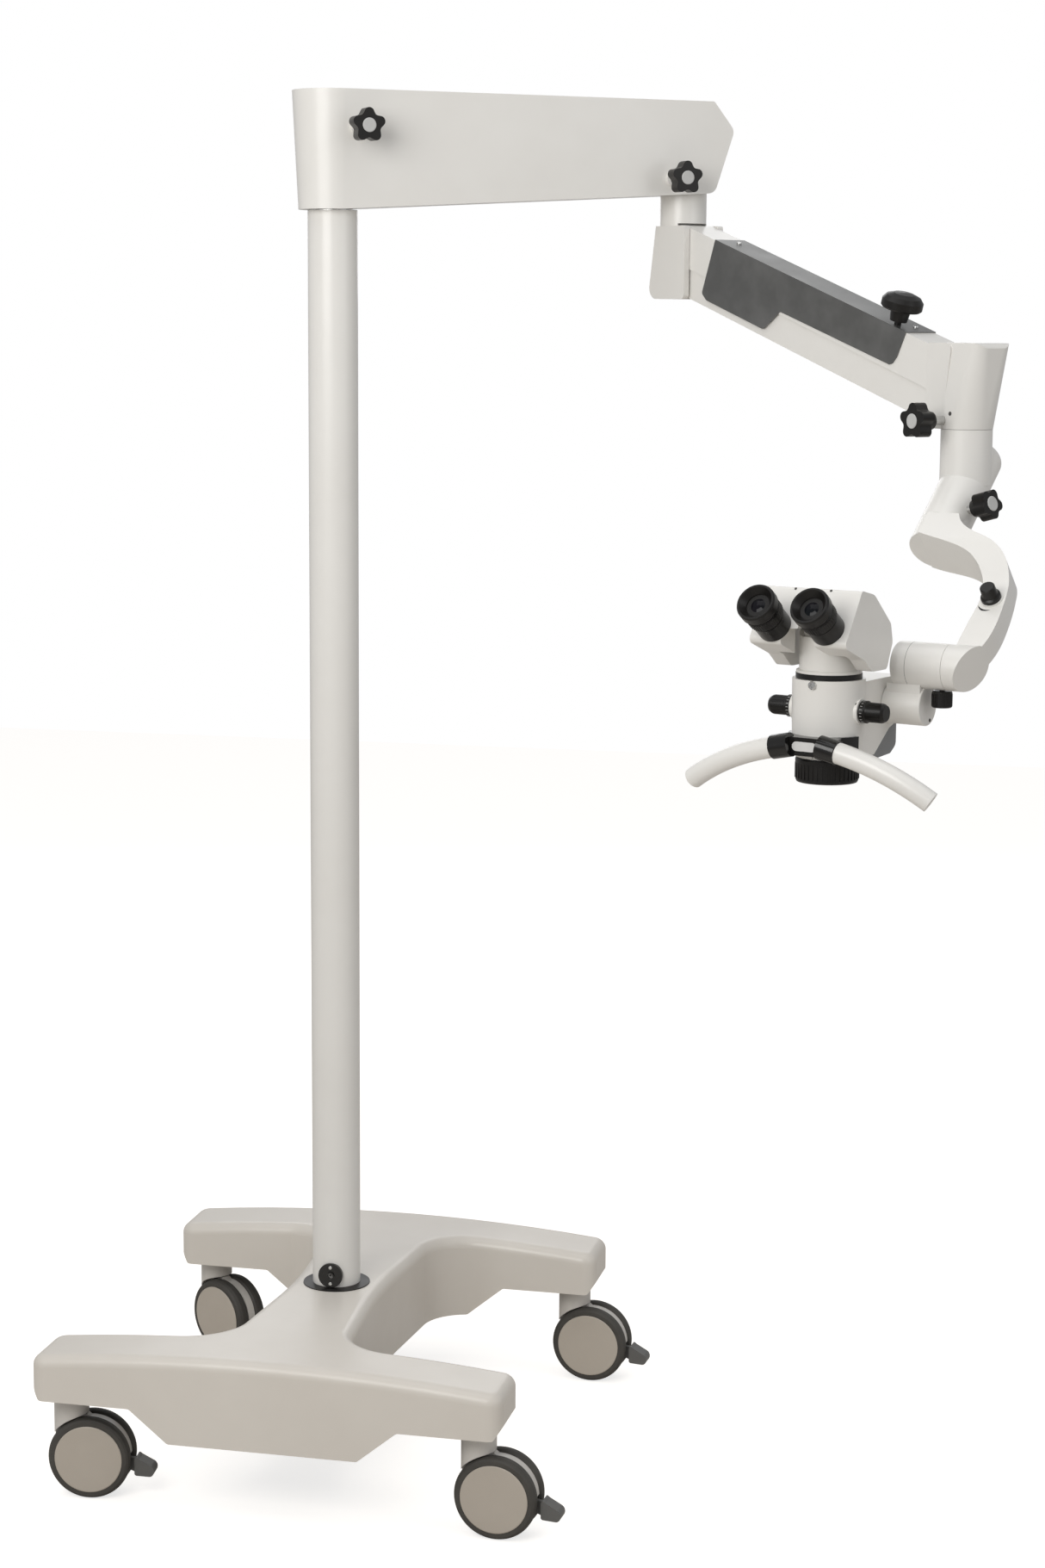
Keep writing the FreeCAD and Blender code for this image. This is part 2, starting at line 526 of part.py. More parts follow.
# Sheet cover over the middle of the upper link, with the tension knob through its top
SHEET = 1.2
cover_end = ARM_LINK - 63
cover_line = [(64, UPPER_ROUND + SHEET, 0), (58.5, -48, 5), (70, -53.5, 5), (188, -53.5, 8), (212, -24, 6),
              (cover_end - 12, -22, 10), (cover_end - 6, -10, 4), (cover_end, UPPER_ROUND + SHEET, 0)]
sheet = upright(cover_line, -SHELL_HALF - SHEET, SHELL_HALF + SHEET)
sheet = sheet.cut(box(0, ARM_LINK, -SHELL_HALF, SHELL_HALF, -100, UPPER_ROUND))
save("saddle_cover", placed(link_frame, sheet.cut(tension_hole)))
knob_at = V(KNOB_3_X, KNOB_3_Y, UPPER_ROUND)
knob_top = turned([(0, 20), (22, 20), (24, 22), (24, 30), (20, 35), (12, 38), (0, 39)], knob_at)
knob_neck = turned([(0, 6), (10, 6), (12, 21), (0, 21)], knob_at)
stud = cylinder(TENSION_STUD, knob_at - Z * 6, Z, 16)
save("tension_knob", *placed(link_frame, union(knob_top, knob_neck).cut(stud), stud))
rod_start, body_end = ANCHORS[0] + 6, ANCHORS[1] - 6
gas_spring = union(cylinder(9, V(body_end - GAS_BODY, 0, GAS_Z), X, GAS_BODY),
                   cylinder(4, V(rod_start, 0, GAS_Z), X, body_end - GAS_BODY - rod_start),
                   cylinder(3, V(rod_start - 8, 0, GAS_Z), X, 8), cylinder(3, V(body_end, 0, GAS_Z), X, 14))
save("gas_spring", placed(link_frame, gas_spring))

# Front head: a box that the links carry, and a lobe that runs from a round foot to a wide top
SPIGOT = 20.0
HEAD_INSIDE = 22.0
HEAD_HEIGHT = 95.4
LOBE_REACH, LOBE_HALF = 45.0, 26.0
back = FRONT_X - 14
head_plan = [(back, -25, 0), (NECK_OFFSET + 10, -POST_RADIUS, 0), (NECK_OFFSET + 10, POST_RADIUS, 0),
             (back, 25, 0)]
head_side = raised([(back, 3.4, 3), (back, HEAD_HEIGHT, 3), (NECK_OFFSET + 2, HEAD_HEIGHT, 8),
                    (NECK_OFFSET - 12, 0, 0), (NECK_OFFSET - POST_RADIUS, 0, 0)], HEAD_LOW)
head_box = flat(head_plan, HEAD_LOW - 12, HEAD_LOW + 108).common(upright(head_side, -40, 40))


def lobe_ring(x0, x1, half, radius, z):
    """Rounded rectangle about the neck's axis, as one end of the lobe's loft."""
    face = outline([(x0, -half, radius), (x1, -half, radius), (x1, half, radius), (x0, half, radius)])
    face.translate(V(NECK_OFFSET, 0, z))
    return face.OuterWire


foot_ring = lobe_ring(-POST_RADIUS, POST_RADIUS, POST_RADIUS, POST_RADIUS - 0.1, HEAD_LOW)
top_ring = lobe_ring(-POST_RADIUS, LOBE_REACH, LOBE_HALF, 14, HEAD_LOW + HEAD_HEIGHT)
lobe = Part.makeLoft([foot_ring, top_ring], True, True)
lobe_end = NECK_OFFSET + LOBE_REACH
lobe = lobe.common(upright(raised([(back, -10, 0), (back, HEAD_HEIGHT, 0), (lobe_end, HEAD_HEIGHT, 10),
                                   (lobe_end, -10, 0)], HEAD_LOW), -40, 40))
head = union(head_box, lobe)
head = head.cut([
    box(back - 11, NECK_OFFSET - 5.5, -HEAD_INSIDE, HEAD_INSIDE, HEAD_LOW + 2.4, HEAD_LOW + 88.4),
    box(back - 11, NECK_OFFSET - 19, -HEAD_INSIDE, HEAD_INSIDE, HEAD_LOW + 2.4, HEAD_LOW + 107),
    box(back - 11, NECK_OFFSET - 22, -HEAD_INSIDE, HEAD_INSIDE, HEAD_LOW - 13, HEAD_LOW + 17)])
spigot_low = HEAD_LOW - 28.6
spigot_line = [(0, spigot_low), (SPIGOT - 1, spigot_low), (SPIGOT, spigot_low + 1),
               (SPIGOT, HEAD_LOW + 2.4), (0, HEAD_LOW + 2.4)]
head = head.fuse(turned(spigot_line, V(NECK_OFFSET, 0, 0)))
front_pins = [cylinder(PIN, V(FRONT_X, -24, FRONT_Z - drop), Y, 48) for drop in (0, LINK_SPACING)]
KNOB_4 = (NECK_OFFSET - 9, HEAD_LOW + 9.4)
local = toward_camera(*KNOB_4)
head_knob_hole = placed(local, cylinder(LOCK_STUD + RUNNING, V(0, 0, 23), Z, 20))
save("head_lock_knob", *placed(arm_frame.multiply(local), *star_knob(23.4, 46, 57, 75)))
save("front_head", placed(arm_frame, minus(head, head_knob_hole, *front_pins)))
save("front_link_pins", *placed(arm_frame, *front_pins))

# Neck and hub: the neck turns on the head's spigot, the hub carries the curved arm's spindle
HUB_FACE = 72.0
HUB_BACK = -49.0
SPINDLE = 15.0
to_head = hub_frame.inverse().multiply(head_frame)
neck_top = HEAD_LOW - SLIDE_GAP
neck = placed(to_head, cylinder(POST_RADIUS, V(0, 0, HUB_Z), Z, neck_top - HUB_Z))
hub = cylinder(HUB_RADIUS, V(0, 0, HUB_BACK), Z, HUB_FACE - HUB_BACK - SLIDE_GAP)
hub = hub.makeFillet(9, [edge for edge in hub.Edges if edge.BoundBox.ZMax < HUB_BACK + 1])
KNOB_5_ANGLE, KNOB_5_D = 20.0, 48.0
outward = FreeCAD.Placement(V(), FreeCAD.Rotation(Y, 90))
knob_5 = FreeCAD.Placement(V(0, 0, KNOB_5_D), FreeCAD.Rotation(Z, KNOB_5_ANGLE)).multiply(outward)
neck_hub = minus(union(hub, neck),
                 placed(to_head, cylinder(SPIGOT + RUNNING, V(0, 0, spigot_low - 2), Z, 60)),
                 cylinder(SPINDLE + RUNNING, V(0, 0, 24), Z, 60),
                 placed(knob_5, cylinder(LOCK_STUD + RUNNING, V(0, 0, SPINDLE + 1), Z, 30)))
save("neck_hub", placed(hub_frame, neck_hub))
save("tilt_lock_knob", *placed(hub_frame.multiply(knob_5), *star_knob(SPINDLE + 5, 36, 44, 62, 22)))

# Curved arm in the hub's frame: X sideways, Z along the spindle, as a bar that bends and thins
BOSS_IN = 85.0
BOSS_RADIUS = 25.0
TILT_PIN = 10.0
ROOT_HALF, END_HALF = 28.0, 14.0
BAR_END = TILT_D + 17
outer = [(28, HUB_FACE), (45, 92), (73, 105), (99, 124), (112, 147), (119.5, 180), (122, 205), (121, 240),
         (109, TILT_D + 3), (96, TILT_D + 30)]
inner = [(87, BAR_END), (88.5, 255), (90, 215), (91, 183), (84, 156), (60, 126), (27, 113), (-10, 103)]


def curve(points):
    """Smooth edge through (x, z) points in the XZ plane."""
    spline = Part.BSplineCurve()
    spline.interpolate([V(x, 0, z) for x, z in points])
    return spline.toShape()


def between(edge, corners):
    """Block inside a curved edge and the straight lines that close it, as thick as the arm's root."""
    face = Part.Face(Part.Wire([edge] + Part.makePolygon([V(x, 0, z) for x, z in corners]).Edges))
    face.translate(V(0, -ROOT_HALF, 0))
    return face.extrude(V(0, 2 * ROOT_HALF, 0))


outside = between(curve(outer), [outer[-1], (-60, TILT_D + 30), (-60, HUB_FACE), outer[0]])
inside = between(curve(inner), [inner[-1], (-60, 103), (-60, BAR_END + 60), (inner[0][0], BAR_END + 60),
                                inner[0]])
bar = outside.cut([inside, box(-70, -10, -40, 40, 0, 400)])
thickness = [(-ROOT_HALF, HUB_FACE - 5, 0), (ROOT_HALF, HUB_FACE - 5, 0), (ROOT_HALF, 108, 30),
             (END_HALF, 158, 50), (END_HALF, BAR_END, 0), (-END_HALF, BAR_END, 0),
             (-END_HALF, 158, 50), (-ROOT_HALF, 108, 30)]
bar = bar.common(side_prism(thickness, -60, 200))
boss_clearance = box(60, BOSS_IN + SLIDE_GAP, -40, 40, TILT_D - 28, TILT_D + 38)
boss = cylinder(BOSS_RADIUS, V(BOSS_IN + SLIDE_GAP, 0, TILT_D), X, 50).common(outside)
DIAL_X, DIAL_Z, DIAL_FACE = 104.5, 183.5, 15.5
DIAL_STUD = 3.0
c_arm = union(cylinder(HUB_RADIUS, V(0, 0, HUB_FACE), Z, 31), bar.cut(boss_clearance), boss)
c_arm = union(c_arm, cylinder(SPINDLE, V(0, 0, 26), Z, HUB_FACE - 21),
              cylinder(TILT_PIN, V(46, 0, TILT_D), X, 45),
              cylinder(12.5, V(DIAL_X, 8, DIAL_Z), Y, DIAL_FACE - 8))
save("c_arm", placed(hub_frame, minus(c_arm, cylinder(DIAL_STUD + RUNNING, V(DIAL_X, 6, DIAL_Z), Y, 20))))
dial_line = [(0, 0.4), (11, 0.4), (11, 4), (8.8, 5.5), (8.2, 17), (7.2, 18), (0, 18)]
dial = turned(dial_line, V(DIAL_X, DIAL_FACE, DIAL_Z), Y)
dial = dial.fuse(cylinder(DIAL_STUD, V(DIAL_X, 7, DIAL_Z), Y, 15))
save("brightness_knob", placed(hub_frame, dial))

# Carrier in the head's frame: the upper barrel tilts on the curved arm, the lower one pitches the body
CAP_IN, BARREL_IN, CARRIER_OUT = 25.0, 43.0, 60.0
PITCH_RADIUS = 21.5
PITCH_PIN = 9.0
SCOPE_HALF = 36.0
LOCK_X = 76.5
LOCK_SCREW = 3.0
pitch_in = SCOPE_X + SCOPE_HALF + SLIDE_GAP
pitch = cylinder(PITCH_RADIUS, V(pitch_in, TILT_Y, PITCH_Z), X, CARRIER_OUT - pitch_in)
pitch = pitch.makeFillet(1.5, [edge for edge in pitch.Edges if edge.BoundBox.XMin > CARRIER_OUT - 1])
barrel = cylinder(BOSS_RADIUS, V(BARREL_IN, TILT_Y, TILT_Z), X, BOSS_IN - BARREL_IN)
bracket = union(box(BARREL_IN, CARRIER_OUT - 2, TILT_Y - 16, TILT_Y + 16, PITCH_Z, TILT_Z),
                box(pitch_in + 3, BARREL_IN, TILT_Y - 16, TILT_Y + 16, PITCH_Z, TILT_Z - 19.5))
lock_top = TILT_Z - BOSS_RADIUS - 0.8
cap_room = cylinder(BOSS_RADIUS, V(0, TILT_Y, TILT_Z), X, BARREL_IN)
carrier = minus(union(barrel, pitch, bracket.cut(cap_room)),
                cylinder(TILT_PIN + RUNNING, V(BARREL_IN + 2, TILT_Y, TILT_Z), X, 60),
                cylinder(PITCH_PIN + RUNNING, V(0, TILT_Y, PITCH_Z), X, 48),
                cylinder(LOCK_SCREW + RUNNING, V(LOCK_X, TILT_Y, lock_top - 12), Z, 25))
save("carrier", placed(head_frame, carrier))
end_cap = cylinder(BOSS_RADIUS, V(CAP_IN, TILT_Y, TILT_Z), X, BARREL_IN - CAP_IN)
end_cap = end_cap.makeFillet(2.5, [edge for edge in end_cap.Edges if edge.BoundBox.XMax < CAP_IN + 1])
save("carrier_end_cap", placed(head_frame, end_cap.cut(carrier)))
lock_line = [(0, -17.5), (10, -17.5), (11, -16.5), (11, -1.5), (10, 0), (0, 0)]
lock_base = V(LOCK_X, TILT_Y, lock_top)
lock = turned(lock_line, lock_base).fuse(cylinder(LOCK_SCREW, lock_base - Z * 7.5, Z, 17))
save("pitch_lock_knob", placed(head_frame, lock))

# Microscope body: the optical axis is Z, and z = 0 is the body's lower rim
PITCH_Y = TILT_Y - SCOPE_Y
DRUM_Z = 50.5
DRUM_RADIUS, DRUM_SHAFT = 16.0, 6.0
BEAM_HOLE_X = 12.0
RING_BORE = 30.0
body = turned([(0, 0), (BODY_RADIUS - 4.5, 0), (BODY_RADIUS - 3, 9), (BODY_RADIUS - 0.8, 25),
               (BODY_RADIUS, 47), (BODY_RADIUS, BODY_HEIGHT), (0, BODY_HEIGHT)])
rear_plan = [(-SCOPE_HALF, 0, 0), (SCOPE_HALF, 0, 0), (SCOPE_HALF, 96, 14), (-SCOPE_HALF, 96, 14)]
rear_side = [(0, 0, 0), (38, 0, 0), (72, 25, 6), (97, 33, 0), (97, BODY_HEIGHT, 8), (0, BODY_HEIGHT, 0)]
rear = flat(rear_plan, 0, BODY_HEIGHT - 3).common(side_prism(rear_side, -60, 60))
scope = union(body, rear)
drum_room = cylinder(DRUM_RADIUS + 1, V(-34, 0, DRUM_Z), X, 68)
scope = scope.cut([drum_room, cylinder(DRUM_SHAFT + RUNNING, V(-60, 0, DRUM_Z), X, 120)]
                  + [cylinder(9, V(side * BEAM_HOLE_X, 0, -1), Z, BODY_HEIGHT + 2) for side in (-1, 1)])
scope = scope.fuse(cylinder(PITCH_PIN, V(20, PITCH_Y, PITCH_RISE), X, 45))
for side in (-1, 1):
    bezel = tube(14, DRUM_SHAFT + RUNNING, V(side * 30, 0, DRUM_Z), V(side, 0, 0), 10.5)
    scope = scope.fuse(bezel.cut(drum_room))
scope = scope.fuse(turned([(RING_BORE - 6, -17), (RING_BORE, -17), (RING_BORE, 3), (RING_BORE - 6, 3)]))
save("scope_body", placed(scope_frame, scope.removeSplitter()))

lamp_side = [(40, 0, 2), (73, 24, 4), (98, 32.5, 0), (101, 29, 4), (101, 3, 8), (88, -5, 6), (50, -7, 4)]
save("lamp_housing", placed(scope_frame, minus(side_prism(lamp_side, -30, 30), scope)))

# Handle band and its two grips, each turning on a tenon in the band's socket
BAND_LOW, BAND_TOP = 5.5, 25.0
HANDLE_ROOT, HANDLE_MID, HANDLE_TIP = V(38.5, -50, 12), V(88, -48, -3), V(142, -39, -32)
HANDLE_RADIUS = 11.5
TENON = 7.0
SOCKET = 22.0
plate_line = [(-34, -32, 0), (34, -32, 0), (37, -54, 4), (14, -52, 20), (-14, -52, 20), (-37, -54, 4)]
strap = tube(BODY_RADIUS + 3, RING_BORE, V(0, 0, BAND_LOW), Z, BAND_TOP - BAND_LOW)
strap = strap.common(box(-60, 60, -60, -8, BAND_LOW, BAND_TOP))
sockets = []
tenon_holes = []
for side, name in ((-1, "handle_left"), (1, "handle_right")):
    root, middle, end = [V(side * point.x, point.y, point.z)
                         for point in (HANDLE_ROOT, HANDLE_MID, HANDLE_TIP)]
    arc = Part.Arc(root, middle, end)
    axis = arc.tangent(arc.FirstParameter)[0]
    sockets.append(cylinder(HANDLE_RADIUS + 1.5, root - axis * SOCKET, axis, SOCKET))
    tenon_holes.append(cylinder(TENON + RUNNING, root - axis * 8.5, axis, 20))
    grip_start = arc.FirstParameter + SLIDE_GAP / arc.toShape().Curve.Radius
    section = Part.makeCircle(HANDLE_RADIUS, arc.value(grip_start), arc.tangent(grip_start)[0])
    path = Part.Wire(arc.toShape(grip_start, arc.LastParameter))
    grip = path.makePipeShell([Part.Wire(section)], True, False)
    save(name, placed(scope_frame, union(grip, cylinder(TENON, root - axis * 8, axis, 12))))
band = union(strap, flat(plate_line, BAND_LOW, BAND_TOP), *sockets).cut([scope] + tenon_holes)
save("handle_band", placed(scope_frame, band.removeSplitter()))

# Objective lens and the focusing ring that turns on the body's nose
LENS_RADIUS = RING_BORE - 6
lens_line = [(0, -13.5), (12, -15.5), (LENS_RADIUS, -13.5), (LENS_RADIUS, -8), (0, -8)]
save("objective_lens", placed(scope_frame, turned(lens_line)))
bore = RING_BORE + RUNNING
ring_line = [(31, -27), (32.5, -27), (33.5, -25), (34.2, -3), (33.5, -1.4), (bore, -1.4), (bore, -17.8),
             (31, -17.8)]
save("focusing_ring", placed(scope_frame, turned(ring_line)))

# Magnification changer: a drum with two telescope bores and a knob at each end
drum = cylinder(DRUM_RADIUS, V(-30, 0, DRUM_Z), X, 60)
drum = drum.cut([cylinder(6.5, V(side * BEAM_HOLE_X, -20, DRUM_Z), Y, 40) for side in (-1, 1)])
shafts = [cylinder(DRUM_SHAFT, V(side * 30, 0, DRUM_Z), V(side, 0, 0), 14) for side in (-1, 1)]
save("magnification_drum", placed(scope_frame, union(drum, *shafts)))
knob_line = [(DRUM_SHAFT, 41.2), (12, 41.2), (12, 47), (10.4, 48), (10.2, 66), (8.4, 69), (0, 69), (0, 44),
             (DRUM_SHAFT, 44)]
knobs = [turned(knob_line, V(0, 0, DRUM_Z), V(side, 0, 0)) for side in (-1, 1)]
save("magnification_knobs", *placed(scope_frame, *knobs))

# Binocular base on its ring, with a knuckle that the bridge tilts on
RING_TOP = BODY_HEIGHT + 6
RING_RADIUS = 35.5
KNUCKLE_Z, KNUCKLE = RING_TOP + 27, 18.0
KNUCKLE_PIN = 6.0
TONGUE = 17.6
KNUCKLE_BASE = 32.0
seat = BODY_HEIGHT + SLIDE_GAP
dovetail = turned([(22, seat), (RING_RADIUS, seat), (RING_RADIUS, RING_TOP), (22, RING_TOP)])
save("dovetail_ring", placed(scope_frame, dovetail))
foot = turned([(0, RING_TOP), (35, RING_TOP), (35, RING_TOP + 2.5), (33, RING_TOP + 3.5),
               (0, RING_TOP + 3.5)])
base_side = raised([(-40, -24, 0), (33, -24, 0), (24, 10, 14), (0, 20, 16), (-22, 12, 8), (-40, 12, 0)],
                   KNUCKLE_Z)
base_round = cylinder(KNUCKLE_BASE, V(0, 0, RING_TOP), Z, 60)
room_side = raised([(-19.4, -19, 0), (60, -19, 0), (60, 40, 0), (-47, 40, 0), (-19.4, 1, 0)], KNUCKLE_Z)
tongue_room = side_prism(room_side, -TONGUE - SLIDE_GAP, TONGUE + SLIDE_GAP)
pin_half = KNUCKLE_BASE - 4
knuckle_pin = cylinder(KNUCKLE_PIN, V(-pin_half, 0, KNUCKLE_Z), X, 2 * pin_half)
base_block = side_prism(base_side, -40, 40).common(base_round)
base = minus(union(foot, base_block), tongue_room, knuckle_pin)
save("binocular_base", *placed(scope_frame, base, knuckle_pin))

# Bridge: tongue and a cross rail on which the two prism housings slide apart
RAIL_LOW, RAIL_HIGH = (-28, KNUCKLE_Z + 28), (-4, KNUCKLE_Z + 46)
neck_side = raised([(-16, 0, 0), (16, 0, 0), (18, 28, 6), (0, 48, 4), (-30, 48, 4), (-30, 26, 0)],
                   KNUCKLE_Z)


def rail_line(gap, radius):
    """Rail section in (y, z), grown by a gap."""
    y0, z0 = RAIL_LOW[0] - gap, RAIL_LOW[1] - gap
    y1, z1 = RAIL_HIGH[0] + gap, RAIL_HIGH[1] + gap
    return [(y0, z0, radius), (y1, z0, radius), (y1, z1, radius), (y0, z1, radius)]


bridge = union(cylinder(KNUCKLE, V(-TONGUE, 0, KNUCKLE_Z), X, 2 * TONGUE),
               side_prism(neck_side, -TONGUE, TONGUE),
               side_prism(rail_line(0, 2), -44, 44))
bridge = bridge.cut(cylinder(KNUCKLE_PIN + RUNNING, V(-60, 0, KNUCKLE_Z), X, 120))
save("binocular_bridge", placed(scope_frame, bridge.removeSplitter()))

# Prism housings with their eyepieces and diopter rings
eye_rise = math.radians(EYE_RISE)
eye_axis = V(0, -math.cos(eye_rise), math.sin(eye_rise))
EYE_FACE = V(0, -63.9, KNUCKLE_Z + 24.9)
SEAT, SLEEVE, EYECUP = 18.5, 14.0, 21.5
housing_side = raised([(-38, 65, 4), (-10, 59, 20), (29, 26, 10), (34, 6, 8), (22, -22, 6), (-12, -22, 12),
                       (-30, -8, 10), (-60, 3, 6), (-74.8, 8.7, 6), (-53, 41.1, 2)], KNUCKLE_Z)
barrel_line = [(8, -8), (12, -8), (12, 0), (SEAT, 0), (SEAT, 21), (SLEEVE, 22), (SLEEVE, 37),
               (EYECUP - 2, 37.5), (EYECUP, 41), (EYECUP, 50), (EYECUP - 1, 52), (EYECUP - 3, 52), (13, 45),
               (13, 44), (8, 44)]
eye_lens_line = [(0, 42), (8, 42), (8, 44), (5, 45.2), (0, 45.8)]
DIOPTER = 19.6
diopter_line = [(SLEEVE + RUNNING, 22.6), (DIOPTER - 0.6, 22.6), (DIOPTER, 23.4), (DIOPTER, 35.6),
                (DIOPTER - 0.6, 36.4), (SLEEVE + RUNNING, 36.4)]
EYE_CLOSER = 3.5
inner_side = RING_RADIUS + EYE_CLOSER + SLIDE_GAP
crown_room = box(0, 60, -100, 60, KNUCKLE_Z + 24, KNUCKLE_Z + 70)
for side, name in ((-1, "left"), (1, "right")):
    block = side_prism(housing_side, 20, 57)
    block = block.cut(box(10, inner_side, -40, 60, KNUCKLE_Z - 40, KNUCKLE_Z + 21))
    block = union(block, side_prism(housing_side, 4.2, 57).common(crown_room))
    block = block.cut([side_prism(rail_line(SLIDE_GAP, 0), 0, 51),
                       box(0, TONGUE + 6, -32, 24, KNUCKLE_Z - 20, KNUCKLE_Z + 50)])
    if side < 0:
        block = block.mirror(V(), X)
    eye_place = FreeCAD.Placement(EYE_FACE + X * (side * EYE_HALF), FreeCAD.Rotation(Z, eye_axis))
    recess = turned([(0, -8), (12, -8), (12, 0), (SEAT, 0), (SEAT, 3), (0, 3)])
    save("prism_housing_" + name, placed(scope_frame, minus(block, placed(eye_place, recess))))
    place = scope_frame.multiply(eye_place)
    save("eyepiece_" + name, *placed(place, turned(barrel_line), turned(eye_lens_line)))
    save("diopter_ring_" + name, placed(place, turned(diopter_line)))
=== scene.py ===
# %% [markdown]
# A surgical microscope on a rolling floor stand. The solid model gives every rigid form; this
# script gives each surface its finish and adds the small pieces that are too fine for the solids:
# screws, ribs, scale ticks, index marks and the bare badge plate. The frame is loaded first, and its
# joints are kept by name, because a joint's point and axis are the best place to hang a screw, a rib
# or a mark on.

# %% Load the frame
import json
import math

import bmesh
import bpy
from mathutils import Matrix, Vector
from mathutils.bvhtree import BVHTree


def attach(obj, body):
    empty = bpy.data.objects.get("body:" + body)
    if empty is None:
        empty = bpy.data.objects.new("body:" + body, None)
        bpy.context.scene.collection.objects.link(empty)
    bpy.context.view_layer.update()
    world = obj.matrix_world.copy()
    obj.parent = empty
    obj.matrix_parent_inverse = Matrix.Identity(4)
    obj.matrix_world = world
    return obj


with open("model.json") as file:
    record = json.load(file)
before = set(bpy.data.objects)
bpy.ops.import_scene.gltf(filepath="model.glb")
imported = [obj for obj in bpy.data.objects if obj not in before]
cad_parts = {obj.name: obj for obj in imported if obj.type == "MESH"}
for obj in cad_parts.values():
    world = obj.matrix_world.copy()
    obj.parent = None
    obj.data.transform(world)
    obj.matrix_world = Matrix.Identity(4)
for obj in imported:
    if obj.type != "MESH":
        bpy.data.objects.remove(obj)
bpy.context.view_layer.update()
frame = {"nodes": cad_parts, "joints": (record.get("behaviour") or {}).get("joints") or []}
joints = {joint["name"]: joint for joint in frame["joints"]}
nodes = frame["nodes"]
MM = 0.001
UP = Vector((0, 0, 1))


# %% [markdown]
# A local frame puts its Z along a joint's axis and its origin on the joint. Pieces are drawn flat
# or around Z, where the numbers are easy to read, and the matrix then carries their points home.

# %% Local frames from joints
def local_frame(origin, axis, side=(1, 0, 0)):
    """Matrix whose Z is the axis and whose X lies as near to side as it can."""
    z = Vector(axis).normalized()
    x = Vector(side) - z * Vector(side).dot(z)
    x = x.normalized() if x.length > 0.1 else z.orthogonal().normalized()
    y = z.cross(x)
    matrix = Matrix((x, y, z)).transposed().to_4x4()
    matrix.translation = Vector(origin)
    return matrix


def joint_frame(name, side=(1, 0, 0), along=0.0):
    """Local frame of a joint, moved along its axis."""
    joint = joints[name]
    axis = Vector(joint["axis"])
    return local_frame(Vector(joint["pos_m"]) + axis * along, axis, side)


ACROSS = Vector(joints["scope_pitch"]["axis"])
DRUM_HEIGHT = 50.5 * MM
scope = local_frame(Vector(joints["magnification_turn"]["pos_m"]) - UP * DRUM_HEIGHT, UP, ACROSS)
rear_pin = Vector(joints["arm_lift"]["pos_m"])
front_pin = Vector(joints["head_level"]["pos_m"])
arm = local_frame(rear_pin, joints["arm_lift"]["axis"], front_pin - rear_pin)
print("body's lower rim is at height", round(scope.translation.z, 4))


# %% [markdown]
# Two effects turn up in nearly every finish, so each is a node group built once. Mottle gives a
# slow, faint change of tone and of gloss, as moulded and sprayed parts have. Grain gives the very
# fine texture, as a height that a Bump node in the material turns into a normal.

# %% Shader groups
def new_group(name, inputs, outputs):
    group = bpy.data.node_groups.new(name, "ShaderNodeTree")
    for label, kind, value in inputs:
        socket = group.interface.new_socket(label, in_out="INPUT", socket_type=kind)
        socket.default_value = value
    for label, kind in outputs:
        group.interface.new_socket(label, in_out="OUTPUT", socket_type=kind)
    return group, group.nodes.new("NodeGroupInput"), group.nodes.new("NodeGroupOutput")


def build_mottle():
    inputs = [("Color", "NodeSocketColor", (0.8, 0.8, 0.8, 1)),
              ("Shade", "NodeSocketColor", (0.7, 0.7, 0.7, 1)),
              ("Scale", "NodeSocketFloat", 6.0),
              ("Amount", "NodeSocketFloat", 0.3),
              ("Roughness", "NodeSocketFloat", 0.4),
              ("Roughness Spread", "NodeSocketFloat", 0.08)]
    outputs = [("Color", "NodeSocketColor"), ("Roughness", "NodeSocketFloat")]
    group, given, out = new_group("mottle", inputs, outputs)
    link = group.links.new
    place = group.nodes.new("ShaderNodeTexCoord")
    noise = group.nodes.new("ShaderNodeTexNoise")
    noise.inputs["Detail"].default_value = 4.0
    noise.inputs["Roughness"].default_value = 0.62
    link(place.outputs["Object"], noise.inputs["Vector"])
    link(given.outputs["Scale"], noise.inputs["Scale"])
    contrast = group.nodes.new("ShaderNodeMapRange")
    contrast.inputs["From Min"].default_value = 0.38
    contrast.inputs["From Max"].default_value = 0.66
    link(noise.outputs["Fac"], contrast.inputs["Value"])
    amount = group.nodes.new("ShaderNodeMath")
    amount.operation = "MULTIPLY"
    link(contrast.outputs["Result"], amount.inputs[0])
    link(given.outputs["Amount"], amount.inputs[1])
    mix = group.nodes.new("ShaderNodeMix")
    mix.data_type = "RGBA"
    link(amount.outputs[0], mix.inputs["Factor"])
    link(given.outputs["Color"], mix.inputs["A"])
    link(given.outputs["Shade"], mix.inputs["B"])
    spread = group.nodes.new("ShaderNodeMath")
    spread.operation = "MULTIPLY_ADD"
    link(contrast.outputs["Result"], spread.inputs[0])
    link(given.outputs["Roughness Spread"], spread.inputs[1])
    link(given.outputs["Roughness"], spread.inputs[2])
    link(mix.outputs["Result"], out.inputs["Color"])
    link(spread.outputs[0], out.inputs["Roughness"])
    return group


